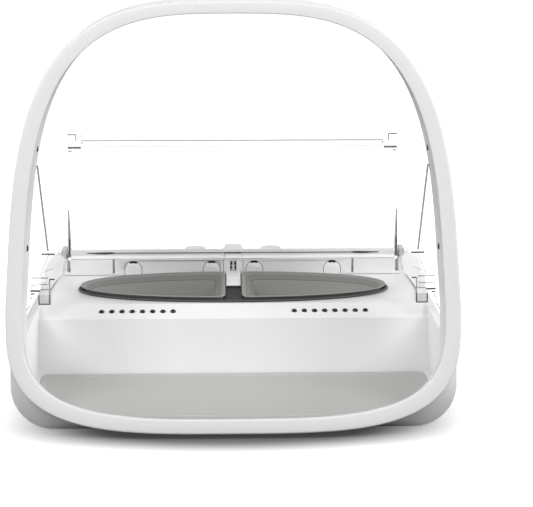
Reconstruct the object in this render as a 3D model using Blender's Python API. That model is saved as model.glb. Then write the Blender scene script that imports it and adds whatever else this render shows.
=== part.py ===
"""Microchip pet feeder, in metres, +Z up, +X to the right and +Y to the back.

A reader hoop leans back over a feeding bay. Behind the bay two half bowls sit in a tray over
a weighing platform, and a small gear motor opens and closes a clear lid over them.
Inside the "feeder" empty, y = 0 is the hoop's lower front and z = 0 is the surface it stands on.
"""
import math

import bmesh
import bpy
from mathutils import Matrix, Vector

# Whole object
DEPTH = 0.245
BASE_HALF = 0.116
BASE_BOTTOM = 0.003
DECK_TOP = 0.0468
SEAM = 0.036
SHELL = 0.0022
PLAN_CORNER = 0.040
BOTTOM_ROUND = 0.018
GAP = 0.0003
OVERRUN = 0.004
SHARP = math.radians(32)
ROUND_LIMIT_SHARE = 0.9

# Reader hoop, measured in its own leaning plane
LEAN = math.radians(12)
HOOP_SET_IN = 0.0005
HOOP_HALF = BASE_HALF - HOOP_SET_IN
HOOP_WAIST = 0.064
HOOP_HEIGHT = 0.2194
SIDE_BAND = 0.0081
TOP_BAND = 0.0065
FOOT_BAND = 0.0076
HOOP_DEPTH = 0.023
FRONT_SHELL_DEPTH = 0.009
HOOP_WALL = 0.0014
HOOP_EDGE = 0.0014
TAPER_SHARE = 0.04
RISE_POWER = 3.4
SPAN_POWER = 3.2
OUTER_FOOT_POWER = 3.25
INNER_FOOT_POWER = 3.5
QUARTER_STATIONS = 22
STATION_EASE_SHARE = 1.65
COIL_CLEARANCE = 0.0004

# Rear cover, from the back of the base forwards
REAR_TOP = 0.0565
REAR_EDGE = 0.010
REAR_SLOPE_RUN = 0.045
REAR_SLOPE_DROP = 0.0105
REAR_LEVEL_RUN = 0.010
REAR_SLOPE_END = DEPTH - REAR_EDGE
REAR_SLOPE_START = REAR_SLOPE_END - REAR_SLOPE_RUN

# Hinge line and its housing
HOUSING_DEPTH = 0.0165
HINGE_SET_IN = 0.008
HOUSING_BACK = REAR_SLOPE_START - REAR_LEVEL_RUN
HOUSING_FRONT = HOUSING_BACK - HOUSING_DEPTH
HINGE_Y = HOUSING_BACK - HINGE_SET_IN
HINGE_Z = 0.058
HOUSING_TOP = 0.0564
HOUSING_END_GAP = 0.0145
SHAFT_END_GAP = 0.013
HOUSING_HALF = BASE_HALF - HOUSING_END_GAP
SHAFT_HALF = BASE_HALF - SHAFT_END_GAP
SHAFT_RADIUS = 0.0013

# Lid, its sizes being taken with it closed
LID_OPEN = math.radians(102)
LID_END_GAP = 0.0165
LID_HALF = BASE_HALF - LID_END_GAP
LID_REACH = 0.0705
LID_HEEL = 0.0095
LID_DROP = 0.007
LID_SHEET = 0.002

# Bowls and tray
BOWL_TO_HOUSING = 0.0345
BOWL_END_GAP = 0.0275
BOWL_Y = HOUSING_FRONT - BOWL_TO_HOUSING
BOWL_LONG_HALF = BASE_HALF - BOWL_END_GAP
BOWL_SHORT_HALF = 0.0303
BOWL_POWER = 2.15
BOWL_TOP = 0.050
BOWL_BASE = 0.0167
BOWL_SIDE = 0.0047
BOWL_WALL = 0.0013
BOWL_CLEARANCE = 0.0005

# Feeding bay
BAY_SIDE = 0.008
BAY_HALF = BASE_HALF - BAY_SIDE
BAY_FLOOR = 0.0075
BAY_WALL = 0.0016
BAY_CORNER = 0.009
PANEL_TO_BOWL = 0.045
PANEL_Y = BOWL_Y - PANEL_TO_BOWL
PANEL_TOP = 0.0412
SLOPE_DEPTH = 0.0115

# Lid drive
TOOTH_MODULE = 0.0005
LID_TEETH = 18
PINION_TEETH = 12
PINION_OPENING = 0.004
MOTOR_START = 0.0052
MOTOR_END = 0.038
MOTOR_HALF = 0.005
MOTOR_FRONT = HINGE_Y - MOTOR_HALF
MOTOR_BACK = HINGE_Y + MOTOR_HALF
MOTOR_TOP = 0.055

# Cells
CELL_RADIUS = 0.0131
CELL_LENGTH = 0.050
BOX_WALL = 0.0016


def clear_scene():
    """Start from an empty scene"""
    for item in list(bpy.data.objects):
        bpy.data.objects.remove(item, do_unlink=True)


def finish(name, colour, roughness, metallic=0.0, clear=0.0):
    """One plain Principled material"""
    material = bpy.data.materials.new(name)
    material.use_nodes = True
    shader = material.node_tree.nodes["Principled BSDF"]
    shader.inputs["Base Color"].default_value = (*colour, 1.0)
    shader.inputs["Roughness"].default_value = roughness
    shader.inputs["Metallic"].default_value = metallic
    shader.inputs["Transmission Weight"].default_value = clear
    return material


def add_empty(name, place, parent=None, turn=0.0):
    """An empty that carries pieces, turned about X"""
    empty = bpy.data.objects.new(name, None)
    bpy.context.scene.collection.objects.link(empty)
    empty.parent = parent
    empty.location = place
    empty.rotation_euler = (turn, 0.0, 0.0)
    return empty


def add_piece(name, skin, material, parent, place=(0.0, 0.0, 0.0)):
    """An object from points and faces given in its parent's space, with its origin at place"""
    points, faces = skin
    mesh = bpy.data.meshes.new(name)
    shape = bmesh.new()
    corners = [shape.verts.new(Vector(point) - Vector(place)) for point in points]
    for face in faces:
        shape.faces.new([corners[index] for index in face])
    bmesh.ops.recalc_face_normals(shape, faces=shape.faces)
    shape.to_mesh(mesh)
    shape.free()
    if material:
        mesh.materials.append(material)
    mesh.shade_smooth()
    mesh.set_sharp_from_angle(angle=SHARP)
    piece = bpy.data.objects.new(name, mesh)
    bpy.context.scene.collection.objects.link(piece)
    piece.parent = parent
    piece.location = place
    return piece


def combine(piece, name, skin, operation, place=(0.0, 0.0, 0.0)):
    """Cut a shape from a piece or join it on, with a hidden tool object"""
    tool = add_piece(name, skin, None, piece.parent, place)
    tool.hide_render = True
    tool.display_type = "WIRE"
    change = piece.modifiers.new(name, "BOOLEAN")
    change.operation = operation
    change.solver = "EXACT"
    change.object = tool
    return tool


def cut(piece, name, skin):
    """Take a shape away from a piece"""
    return combine(piece, name, skin, "DIFFERENCE")


def join(piece, name, skin):
    """Join a shape on to a piece"""
    return combine(piece, name, skin, "UNION")


def loft(rings):
    """Skin over a row of rings of equal counts, closed at both ends"""
    count = len(rings[0])
    points = [point for ring in rings for point in ring]
    faces = []
    for row in range(len(rings) - 1):
        for column in range(count):
            after = (column + 1) % count
            low = row * count
            high = low + count
            faces.append([low + column, low + after, high + after, high + column])
    faces.append(list(range(count)))
    faces.append(list(range(len(points) - count, len(points))))
    return points, faces


def hoop_skin(rings):
    """Skin over rings that run round in a closed loop"""
    count = len(rings[0])
    total = len(rings) * count
    points = [point for ring in rings for point in ring]
    faces = []
    for row in range(len(rings)):
        for column in range(count):
            after = (column + 1) % count
            low = row * count
            high = (low + count) % total
            faces.append([low + column, low + after, high + after, high + column])
    return points, faces


def merge(skins):
    """Several closed skins as one list of points and faces"""
    points = []
    faces = []
    for more_points, more_faces in skins:
        start = len(points)
        points.extend(more_points)
        faces.extend([[start + index for index in face] for face in more_faces])
    return points, faces


def block(left, right, front, back, low, high):
    """A box between its six sides"""
    lower = [(left, front, low), (right, front, low), (right, back, low), (left, back, low)]
    upper = [(x, y, high) for x, y, z in lower]
    return loft([lower, upper])


def bar(outline, left, right):
    """A shape drawn in Y and Z and drawn out along X"""
    return loft([[(x, y, z) for y, z in outline] for x in (left, right)])


def rail(outline, front, back):
    """A shape drawn in X and Z and drawn out along Y"""
    return loft([[(x, y, z) for x, z in outline] for y in (front, back)])


def turned(rings, centre, steps=20, axis="Z"):
    """A round solid from (place along the axis, radius) pairs"""
    swing = {"X": Matrix.Rotation(math.radians(90), 3, "Y"), "Z": Matrix.Identity(3)}[axis]
    circles = []
    for along, radius in rings:
        angles = [2 * math.pi * step / steps for step in range(steps)]
        circle = [Vector((radius * math.cos(a), radius * math.sin(a), along)) for a in angles]
        circles.append([tuple(Vector(centre) + swing @ point) for point in circle])
    return loft(circles)


def pin(centre, radius, half, steps=20, axis="X"):
    """A plain round pin, centred"""
    return turned([(-half, radius), (half, radius)], centre, steps, axis)


def arc(centre, radius, start, end, steps, rise=None):
    """Points of an arc in a plane, angles in degrees; an oval arc where rise is given"""
    rise = radius if rise is None else rise
    angles = [math.radians(start + (end - start) * step / steps) for step in range(steps + 1)]
    return [(centre[0] + radius * math.cos(a), centre[1] + rise * math.sin(a)) for a in angles]


def mirrored(points):
    """The right side's points, from low to high, closed by their mirror image"""
    return points + [(-x, z) for x, z in reversed(points)]


def rounded_section(half, low, high, low_round, high_round, steps=6):
    """A section across the base in X and Z, with rounded corners where a radius is given"""
    right = [(half, low)]
    if low_round:
        right = arc((half - low_round, low + low_round), low_round, -90, 0, steps)
    if high_round:
        up = min(high_round, ROUND_LIMIT_SHARE * (high - low))
        right += arc((half - high_round, high - up), high_round, 0, 90, steps, up)
    else:
        right.append((half, high))
    return mirrored(right)


def oval(long_half, short_half, height, steps=56):
    """The plan outline round both bowls, at one height"""
    ring = []
    for step in range(steps):
        angle = 2 * math.pi * (step + 0.5) / steps
        across = math.copysign(abs(math.cos(angle)) ** (2 / BOWL_POWER), math.cos(angle))
        along = math.copysign(abs(math.sin(angle)) ** (2 / BOWL_POWER), math.sin(angle))
        ring.append((long_half * across, BOWL_Y + short_half * along, height))
    return ring


def half_oval(side, inset, straight, height, corner, steps=22, corner_steps=4):
    """The plan outline of one bowl: half an oval with a straight inner edge"""
    long_half = BOWL_LONG_HALF - inset
    short_half = BOWL_SHORT_HALF - inset
    limit = math.acos(((straight + corner) / long_half) ** (BOWL_POWER / 2))
    right = []
    for step in range(steps + 1):
        angle = limit * (2 * step / steps - 1)
        along = math.copysign(abs(math.sin(angle)) ** (2 / BOWL_POWER), angle)
        right.append((long_half * math.cos(angle) ** (2 / BOWL_POWER), short_half * along))
    end = right[-1]
    for step in range(1, corner_steps + 1):
        share = step / corner_steps
        x = straight + corner * (1 - share) ** 2
        right.append((x, end[1] - corner * share ** 2))
    for x, y in reversed(right[-corner_steps:]):
        right.append((x, -y))
    return [(side * x, BOWL_Y + y, height) for x, y in right]


# The hoop's outlines. Each is a pair of curves, above and below the waist, that turn a
# parameter from 0 (side) to a right angle (top or bottom) into a place on the right side.

WAIST_Z = BASE_BOTTOM + HOOP_WAIST * math.cos(LEAN)


def upper_curve(half, rise):
    """The hoop above its waist: a tall rounded arch that narrows a little"""
    def place(angle):
        lift = math.sin(angle) ** (2 / RISE_POWER)
        x = half * (1 - TAPER_SHARE * lift) * abs(math.cos(angle)) ** (2 / SPAN_POWER)
        return x, rise * math.cos(LEAN) * lift
    return place


def lower_curve(half, drop, power):
    """The hoop below its waist: a shallow rounded foot, drop being a height"""
    def place(angle):
        x = half * abs(math.cos(angle)) ** (2 / power)
        return x, drop * math.sin(angle) ** (2 / power)
    return place


def boxy_curve(half, drop, corner):
    """A straight side, a round corner and a flat bottom"""
    def place(angle):
        third = 3 * angle / math.radians(90)
        if third < 1:
            return half, (drop - corner) * third
        if third < 2:
            turn = (third - 1) * math.radians(90)
            return half - corner * (1 - math.cos(turn)), drop - corner * (1 - math.sin(turn))
        return (half - corner) * (3 - third), drop
    return place


def on_ray(curve, slope):
    """Where a curve meets the ray from the waist's centre at one slope angle"""
    low = 0.0
    high = math.radians(90)
    for _ in range(44):
        middle = (low + high) / 2
        x, rise = curve(middle)
        if math.atan2(rise, x) < slope:
            low = middle
        else:
            high = middle
    return curve((low + high) / 2)


def hoop_rays():
    """Side, direction and slope of each station round the hoop, closest at the corners"""
    outer_up = upper_curve(HOOP_HALF, HOOP_HEIGHT - HOOP_WAIST)
    outer_down = lower_curve(HOOP_HALF, HOOP_WAIST * math.cos(LEAN), OUTER_FOOT_POWER)
    slopes = []
    for curve, way in ((outer_down, -1), (outer_up, 1)):
        row = []
        for step in range(QUARTER_STATIONS + 1):
            share = step / QUARTER_STATIONS
            eased = share ** STATION_EASE_SHARE
            eased /= eased + (1 - share) ** STATION_EASE_SHARE
            x, rise = curve(eased * math.radians(90))
            row.append((way, math.atan2(rise, x)))
        slopes.append(row)
    right = list(reversed(slopes[0])) + slopes[1][1:]
    stations = [(1, way, slope) for way, slope in right]
    stations += [(-1, way, slope) for way, slope in reversed(right[1:-1])]
    return stations


RAYS = hoop_rays()


def outline(up, down):
    """Places (x, z) of one hoop outline at every station"""
    places = []
    for side, way, slope in RAYS:
        x, rise = on_ray(up if way > 0 else down, slope)
        if slope >= math.radians(89.99):
            x = 0.0
        places.append((side * x, WAIST_Z + way * rise))
    return places


def hoop_outlines():
    """The outlines that the hoop's shells run between"""
    foot_drop = HOOP_WAIST * math.cos(LEAN)
    inner_half = HOOP_HALF - SIDE_BAND
    bay_drop = WAIST_Z - BAY_FLOOR
    inner_foot_drop = foot_drop - FOOT_BAND * math.cos(LEAN)
    outer_up = upper_curve(HOOP_HALF, HOOP_HEIGHT - HOOP_WAIST)
    inner_up = upper_curve(inner_half, HOOP_HEIGHT - HOOP_WAIST - TOP_BAND)
    return {
        "outer": outline(outer_up, lower_curve(HOOP_HALF, foot_drop, OUTER_FOOT_POWER)),
        "inner": outline(inner_up, lower_curve(inner_half, inner_foot_drop, INNER_FOOT_POWER)),
        "step": outline(inner_up, lower_curve(inner_half, bay_drop, INNER_FOOT_POWER)),
        "base": outline(outer_up, boxy_curve(HOOP_HALF, foot_drop, BOTTOM_ROUND)),
        "bay": outline(inner_up, boxy_curve(inner_half, bay_drop, BAY_CORNER)),
    }


def lean_back(x, z, depth):
    """A place on the hoop at a depth behind its leaning front face"""
    return (x, depth + (z - BASE_BOTTOM) * math.tan(LEAN), z)


def towards(start, end, distance):
    """The place at a distance from start on the way to end"""
    share = distance / math.hypot(end[0] - start[0], end[1] - start[1])
    return (start[0] + (end[0] - start[0]) * share, start[1] + (end[1] - start[1]) * share)


def between(first, second, share):
    """A place part of the way from the first to the second"""
    return tuple(a + (b - a) * share for a, b in zip(first, second))


def make_hoop_front(feeder, outlines, white):
    """Front shell of the hoop: a channel that is open to the back"""
    profile = (
        ("outer", HOOP_EDGE, 0.0),
        ("inner", HOOP_EDGE, 0.0),
        ("inner", 0.0, HOOP_EDGE),
        ("inner", 0.0, FRONT_SHELL_DEPTH),
        ("inner", HOOP_WALL, FRONT_SHELL_DEPTH),
        ("inner", HOOP_WALL, HOOP_WALL),
        ("outer", HOOP_WALL, HOOP_WALL),
        ("outer", HOOP_WALL, FRONT_SHELL_DEPTH),
        ("outer", 0.0, FRONT_SHELL_DEPTH),
        ("outer", 0.0, HOOP_EDGE),
    )
    rings = []
    for outer, inner in zip(outlines["outer"], outlines["inner"]):
        ends = {"outer": (outer, inner), "inner": (inner, outer)}
        rings.append([lean_back(*towards(*ends[edge], inset), depth) for edge, inset, depth in profile])
    return add_piece("hoop_front", hoop_skin(rings), white, feeder)


def make_hoop_rear(feeder, outlines, white):
    """Rear shell of the hoop: its lower corners spread out to the base's section"""
    start = FRONT_SHELL_DEPTH + GAP
    inside = HOOP_DEPTH - HOOP_WALL
    profile = (
        ("outer", 0.0, start),
        ("outer", HOOP_WALL, start),
        ("outer", HOOP_WALL, inside),
        ("inner", HOOP_WALL, inside),
        ("inner", HOOP_WALL, start),
        ("inner", 0.0, start),
        ("inner", 0.0, HOOP_DEPTH),
        ("outer", 0.0, HOOP_DEPTH),
    )
    rings = []
    for index in range(len(RAYS)):
        ring = []
        for edge, inset, depth in profile:
            share = (depth - start) / (HOOP_DEPTH - start)
            outer = between(outlines["outer"][index], outlines["base"][index], share)
            inner = between(outlines["step"][index], outlines["bay"][index], share)
            ends = {"outer": (outer, inner), "inner": (inner, outer)}
            ring.append(lean_back(*towards(*ends[edge], inset), depth))
        rings.append(ring)
    return add_piece("hoop_rear", hoop_skin(rings), white, feeder)


def make_antenna_coil(feeder, outlines, copper):
    """Reader coil: one flat band that lies in the front shell's channel"""
    front = HOOP_WALL + GAP
    back = FRONT_SHELL_DEPTH - COIL_CLEARANCE
    inset = HOOP_WALL + COIL_CLEARANCE
    rings = []
    for outer, inner in zip(outlines["outer"], outlines["inner"]):
        near = towards(outer, inner, inset)
        far = towards(inner, outer, inset)
        rings.append([lean_back(*place, depth) for place, depth in
                      ((near, front), (far, front), (far, back), (near, back))])
    return add_piece("antenna_coil", hoop_skin(rings), copper, feeder)


SENSOR_HEIGHTS = (0.093, 0.143)
SENSOR_RADIUS = 0.0015
SENSOR_LENGTH = 0.0022
SENSOR_DEPTH = 0.0135


def sensor_places():
    """Name, side and centre of each beam sensor on the hoop's inner wall"""
    inner_half = HOOP_HALF - SIDE_BAND
    curve = upper_curve(inner_half, HOOP_HEIGHT - HOOP_WAIST - TOP_BAND)
    for label, height in zip(("low", "high"), SENSOR_HEIGHTS):
        share = (height - WAIST_Z) / curve(math.radians(90))[1]
        x = curve(math.asin(share ** (RISE_POWER / 2)))[0]
        for name, side in (("left", -1), ("right", 1)):
            y = SENSOR_DEPTH + (height - BASE_BOTTOM) * math.tan(LEAN)
            yield f"sensor_{label}_{name}", side, (side * x, y, height)


def make_sensors(feeder, hoop_rear, smoke):
    """Four small windows in the hoop's inner wall"""
    for name, side, (x, y, z) in sensor_places():
        middle = x + side * SENSOR_LENGTH / 2
        hole = pin((middle, y, z), SENSOR_RADIUS + GAP, SENSOR_LENGTH, steps=12)
        cut(hoop_rear, f"{name}_hole", hole)
        add_piece(name, pin((middle, y, z), SENSOR_RADIUS, SENSOR_LENGTH / 2, steps=12), smoke, feeder)


REAR_TOP_ROUND = 0.007
REAR_SHOULDER = 0.0145
SHOULDER_FRONT = 0.0083
SHOULDER_BACK = 0.0125


def plan_stations(start, inset):
    """Places along Y, close together round the back corners"""
    turn = DEPTH - PLAN_CORNER
    side_shares = (0.0, 0.25, 0.5, 0.75)
    rows = [start + (turn - start) * share for share in side_shares]
    rows += [y for _, y in arc((0.0, turn), PLAN_CORNER - inset, 0, 90, 9)]
    return sorted(rows + [DEPTH - BOTTOM_ROUND])


def plan_half(y, inset):
    """Half the base's width at one place along Y"""
    behind = y - (DEPTH - PLAN_CORNER)
    if behind <= 0:
        return BASE_HALF - inset
    across = math.sqrt(max((PLAN_CORNER - inset) ** 2 - behind ** 2, 0.0))
    return BASE_HALF - PLAN_CORNER + across


def underside(y, inset):
    """Height of the base's bottom, which rounds up at the back"""
    behind = y - (DEPTH - BOTTOM_ROUND)
    if behind <= 0:
        return BASE_BOTTOM + inset
    up = math.sqrt(max((BOTTOM_ROUND - inset) ** 2 - behind ** 2, 0.0))
    return BASE_BOTTOM + BOTTOM_ROUND - up


def rear_top(y, inset):
    """Height of the rear cover, which slopes down and then rounds off"""
    run = min(max(y - REAR_SLOPE_START, 0.0), REAR_SLOPE_END - REAR_SLOPE_START)
    height = REAR_TOP - REAR_SLOPE_DROP * run / (REAR_SLOPE_END - REAR_SLOPE_START)
    behind = y - (DEPTH - REAR_TOP_ROUND)
    if behind > 0:
        fall = math.sqrt(max((REAR_TOP_ROUND - inset) ** 2 - behind ** 2, 0.0))
        return height - REAR_TOP_ROUND + fall
    return height - inset


def across(y, outline_points):
    """A section's points placed at one station"""
    return [(x, y, z) for x, z in outline_points]


def tub_skin(start, inset, top):
    """The lower base as a solid, from a front plane to the back"""
    rings = []
    for y in plan_stations(start, inset):
        low = underside(y, inset)
        corner = min(BOTTOM_ROUND - inset, ROUND_LIMIT_SHARE * (SEAM - low))
        rings.append(across(y, rounded_section(plan_half(y, inset), low, top, corner, 0)))
    return loft(rings)


def front_slab():
    """Everything in front of the hoop's back face"""
    far = -OVERRUN
    low = -OVERRUN
    high = WAIST_Z
    face = [lean_back(0.0, z, HOOP_DEPTH + GAP)[1:] for z in (low, high)]
    return bar([(far, low), face[0], face[1], (far, high)], -HOOP_HALF - OVERRUN, HOOP_HALF + OVERRUN)


CELL_END_GAP = 0.0223
CELL_X = BASE_HALF - CELL_END_GAP - CELL_LENGTH
CELL_NUB = 0.0012
CONTACT_SHEET = 0.0005
CELL_GAP = 0.0006
CELL_SPACING = 2 * CELL_RADIUS + CELL_GAP
CELL_TO_BACK = 0.052
CELL_MIDDLE_Y = DEPTH - CELL_TO_BACK
DOOR_TOP = BASE_BOTTOM - GAP
DOOR_THICKNESS = 0.0015
DOOR_LAP = 0.0025
CELL_Z = DOOR_TOP + GAP + CELL_RADIUS
BOX_INNER_X = CELL_X - 2 * GAP - CONTACT_SHEET
BOX_OUTER_X = CELL_X + CELL_LENGTH + GAP
BOX_FRONT_Y = CELL_MIDDLE_Y - CELL_SPACING / 2 - CELL_RADIUS - GAP
BOX_BACK_Y = CELL_MIDDLE_Y + CELL_SPACING / 2 + CELL_RADIUS + GAP
BOX_TOP = CELL_Z + CELL_RADIUS + GAP


def mirrored_block(side, near, far, front, back, low, high):
    """A box given for the right side, or its mirror image"""
    left, right = sorted((side * near, side * far))
    return block(left, right, front, back, low, high)


def make_base_tub(feeder, white):
    """Lower base: an open pan with two battery openings in its floor"""
    tub = add_piece("base_tub", tub_skin(OVERRUN, 0.0, SEAM), white, feeder)
    cut(tub, "tub_hollow", tub_skin(0.0, SHELL, SEAM + OVERRUN))
    cut(tub, "tub_front", front_slab())
    for name, side in (("left", -1), ("right", 1)):
        hole = mirrored_block(side, BOX_INNER_X, BOX_OUTER_X, BOX_FRONT_Y, BOX_BACK_Y,
                              -OVERRUN, BASE_BOTTOM + SHELL + OVERRUN)
        cut(tub, f"battery_opening_{name}", hole)
    return tub


SLOPE_ANGLE = math.atan2(DECK_TOP - PANEL_TOP, SLOPE_DEPTH)


def bay_skin(front, wall, top):
    """The feeding bay with its front panel and sloping strip, grown by a wall"""
    corner = BAY_CORNER + wall
    middle = BAY_HALF - BAY_CORNER
    back = PANEL_Y + wall
    crease_y = PANEL_Y + wall * math.sin(SLOPE_ANGLE)
    crease_z = PANEL_TOP - wall * math.cos(SLOPE_ANGLE)
    crease_z += (back - crease_y) * math.tan(SLOPE_ANGLE)
    slope_high = DECK_TOP + GAP if wall == 0 else top
    slope_back = back + (slope_high - crease_z) / math.tan(SLOPE_ANGLE)
    floor = BAY_FLOOR - wall
    right = arc((middle, floor + corner), corner, -90, 0, 6)
    rings = []
    for x, low in [(-x, z) for x, z in reversed(right)] + right:
        outline_points = [(front, low), (back, low), (back, crease_z), (slope_back, slope_high)]
        if wall == 0:
            outline_points.append((slope_back, top))
        outline_points.append((front, top))
        rings.append([(x, y, z) for y, z in outline_points])
    return loft(rings)


def shoulder(y):
    """Radius of the deck's side edge, which grows to the back"""
    share = (y - PANEL_Y) / (HOUSING_BACK - PANEL_Y)
    return SHOULDER_FRONT + (SHOULDER_BACK - SHOULDER_FRONT) * max(share, 0.0)


def deck_skin(front, back, inset, low):
    """The deck as a solid, from the seam up"""
    rings = []
    for y in (front, PANEL_Y, BOWL_Y, back):
        points = rounded_section(BASE_HALF - inset, low, DECK_TOP - inset, 0, shoulder(y) - inset)
        rings.append(across(y, points))
    return loft(rings)


GUIDE_PIPS = 8
PIP_FIRST = 0.0338
PIP_PITCH = 0.00568
PIP_RADIUS = 0.00135
PIP_SLOPE_SHARE = 0.52
PIP_CLEARANCE = 0.0003
GUIDE_BAR = 0.0014
GUIDE_WIDTH_SHARE = 1.5
GUIDE_MARGIN = 0.003


def on_slope(x, along, out):
    """A place on the sloping strip: along it from its lower edge, and out from its face"""
    y = PANEL_Y + along * math.cos(SLOPE_ANGLE) - out * math.sin(SLOPE_ANGLE)
    z = PANEL_TOP + along * math.sin(SLOPE_ANGLE) + out * math.cos(SLOPE_ANGLE)
    return (x, y, z)


def slope_pins(side, radius, low, high, steps):
    """A row of round pins square to the sloping strip"""
    along = PIP_SLOPE_SHARE * SLOPE_DEPTH / math.cos(SLOPE_ANGLE)
    pins = []
    for number in range(GUIDE_PIPS):
        x = side * (PIP_FIRST + number * PIP_PITCH)
        rings = []
        for out in (low, high):
            angles = [2 * math.pi * step / steps for step in range(steps)]
            rings.append([on_slope(x + radius * math.cos(a), along + radius * math.sin(a), out)
                          for a in angles])
        pins.append(loft(rings))
    return merge(pins)


def make_deck_cover(feeder, white):
    """Upper shell: bay floor and walls, front panel, sloping indicator strip and deck"""
    deck = add_piece("deck_cover", deck_skin(OVERRUN, HOUSING_BACK, 0.0, SEAM + GAP), white, feeder)
    cut(deck, "deck_hollow", deck_skin(0.0, HOUSING_BACK + OVERRUN, SHELL, SEAM - OVERRUN))
    plate_middle = DECK_TOP - SHELL / 2
    join(deck, "bay_walls", bay_skin(OVERRUN, BAY_WALL, plate_middle))
    cut(deck, "bay_space", bay_skin(0.0, 0.0, DECK_TOP + BAY_WALL))
    hole_long = BOWL_LONG_HALF + GAP
    hole_short = BOWL_SHORT_HALF + GAP
    heights = (DECK_TOP - SHELL - OVERRUN, DECK_TOP + OVERRUN)
    cut(deck, "tray_opening", loft([oval(hole_long, hole_short, z) for z in heights]))
    for name, side in (("left", -1), ("right", 1)):
        holes = slope_pins(side, PIP_RADIUS + PIP_CLEARANCE, -OVERRUN, OVERRUN, 10)
        cut(deck, f"pip_holes_{name}", holes)
    opening = block(-PINION_OPENING, MOTOR_END + GAP, MOTOR_FRONT - GAP, MOTOR_BACK + GAP,
                    DECK_TOP - SHELL - OVERRUN, DECK_TOP + OVERRUN)
    cut(deck, "motor_opening", opening)
    cut(deck, "deck_front", front_slab())
    return deck


def make_light_guides(feeder, lens):
    """Two clear guides, each a bar behind the strip with eight pips through it"""
    along = PIP_SLOPE_SHARE * SLOPE_DEPTH / math.cos(SLOPE_ANGLE)
    half = GUIDE_WIDTH_SHARE * PIP_RADIUS
    behind = -BAY_WALL - GAP
    for name, side in (("left", -1), ("right", 1)):
        first = side * (PIP_FIRST - GUIDE_MARGIN)
        last = side * (PIP_FIRST + (GUIDE_PIPS - 1) * PIP_PITCH + GUIDE_MARGIN)
        rings = []
        for x in (first, last):
            rings.append([on_slope(x, along + half * a, behind + out)
                          for a, out in ((-1, -GUIDE_BAR), (1, -GUIDE_BAR), (1, 0.0), (-1, 0.0))])
        guide = add_piece(f"light_guide_{name}", loft(rings), lens, feeder)
        join(guide, f"pips_{name}", slope_pins(side, PIP_RADIUS, behind - GUIDE_BAR / 2, 0.0, 10))


MAT_SIDE_GAP = 0.0051
MAT_BACK_GAP = 0.0005
MAT_HALF = BAY_HALF - MAT_SIDE_GAP
MAT_FRONT = 0.0112
MAT_BACK = PANEL_Y - MAT_BACK_GAP
MAT_THICKNESS = 0.0012
MAT_UNDERCUT = 0.0034
MAT_CORNER = 0.006
MAT_TONGUE_HALF = 0.034
MAT_TONGUE_CORNER = 0.003
MAT_TONGUE_BACK = 0.0250


def make_mat(feeder, grey):
    """Removable mat: it fills the bay's floor, with a tongue that reaches over the hoop's foot"""
    low = BAY_FLOOR + GAP
    tongue = MAT_TONGUE_HALF - MAT_TONGUE_CORNER
    rings = []
    for half, z in ((MAT_HALF - MAT_UNDERCUT, low), (MAT_HALF, low + MAT_THICKNESS)):
        right = [(half, MAT_BACK)]
        right += arc((half - MAT_CORNER, MAT_TONGUE_BACK + MAT_CORNER), MAT_CORNER, 0, -90, 4)
        right += [(MAT_TONGUE_HALF, MAT_TONGUE_BACK)]
        right += arc((tongue, MAT_FRONT + MAT_TONGUE_CORNER), MAT_TONGUE_CORNER, 0, -90, 4)
        rings.append([(x, y, z) for x, y in right + [(-x, y) for x, y in reversed(right)]])
    return add_piece("mat", loft(rings), grey, feeder, (0.0, PANEL_Y / 2, low))


BOWL_OVERHANG = 0.0019
BOWL_DRAFT = 0.007
BOWL_ROUND = 0.003
BOWL_RIM = 0.0011
BOWL_RIM_FLAT = 0.0012
BOWL_CORNER = 0.006
STRAIGHT_OVERHANG = 0.0010
STRAIGHT_DRAFT = 0.0032


def bowl_ring(side, inset, straight, height, grow=0.0):
    """One level of a bowl, or of the pocket round it when grown by a clearance"""
    return half_oval(side, inset - grow, BOWL_SIDE + straight - grow, height, BOWL_CORNER)


def make_bowls(feeder, grey):
    """Two half bowls, each a thin dish with a small rim"""
    under_rim = BOWL_TOP - BOWL_RIM
    foot = BOWL_OVERHANG + BOWL_DRAFT
    straight_foot = STRAIGHT_OVERHANG + STRAIGHT_DRAFT
    levels = (
        (foot + BOWL_ROUND, straight_foot + BOWL_ROUND, BOWL_BASE),
        (foot, straight_foot, BOWL_BASE + BOWL_ROUND),
        (BOWL_OVERHANG, STRAIGHT_OVERHANG, under_rim),
        (0.0, 0.0, under_rim),
        (0.0, 0.0, BOWL_TOP),
        (BOWL_RIM_FLAT, BOWL_RIM_FLAT, BOWL_TOP),
        (BOWL_OVERHANG + BOWL_WALL, STRAIGHT_OVERHANG + BOWL_WALL, under_rim),
        (foot + BOWL_WALL, straight_foot + BOWL_WALL, BOWL_BASE + BOWL_WALL + BOWL_ROUND),
        (foot + BOWL_WALL + BOWL_ROUND, straight_foot + BOWL_WALL + BOWL_ROUND, BOWL_BASE + BOWL_WALL),
    )
    for name, side in (("left", -1), ("right", 1)):
        rings = [bowl_ring(side, inset, straight, height) for inset, straight, height in levels]
        middle = (side * BOWL_LONG_HALF / 2, BOWL_Y, BOWL_BASE)
        add_piece(f"bowl_{name}", loft(rings), grey, feeder, middle)


TRAY_WALL = 0.0014
TRAY_LIP = 0.0014
TRAY_LIP_HEIGHT = 0.0010
TRAY_FLOOR = 0.0014
TRAY_TOP = DECK_TOP + GAP + TRAY_LIP_HEIGHT


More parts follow.
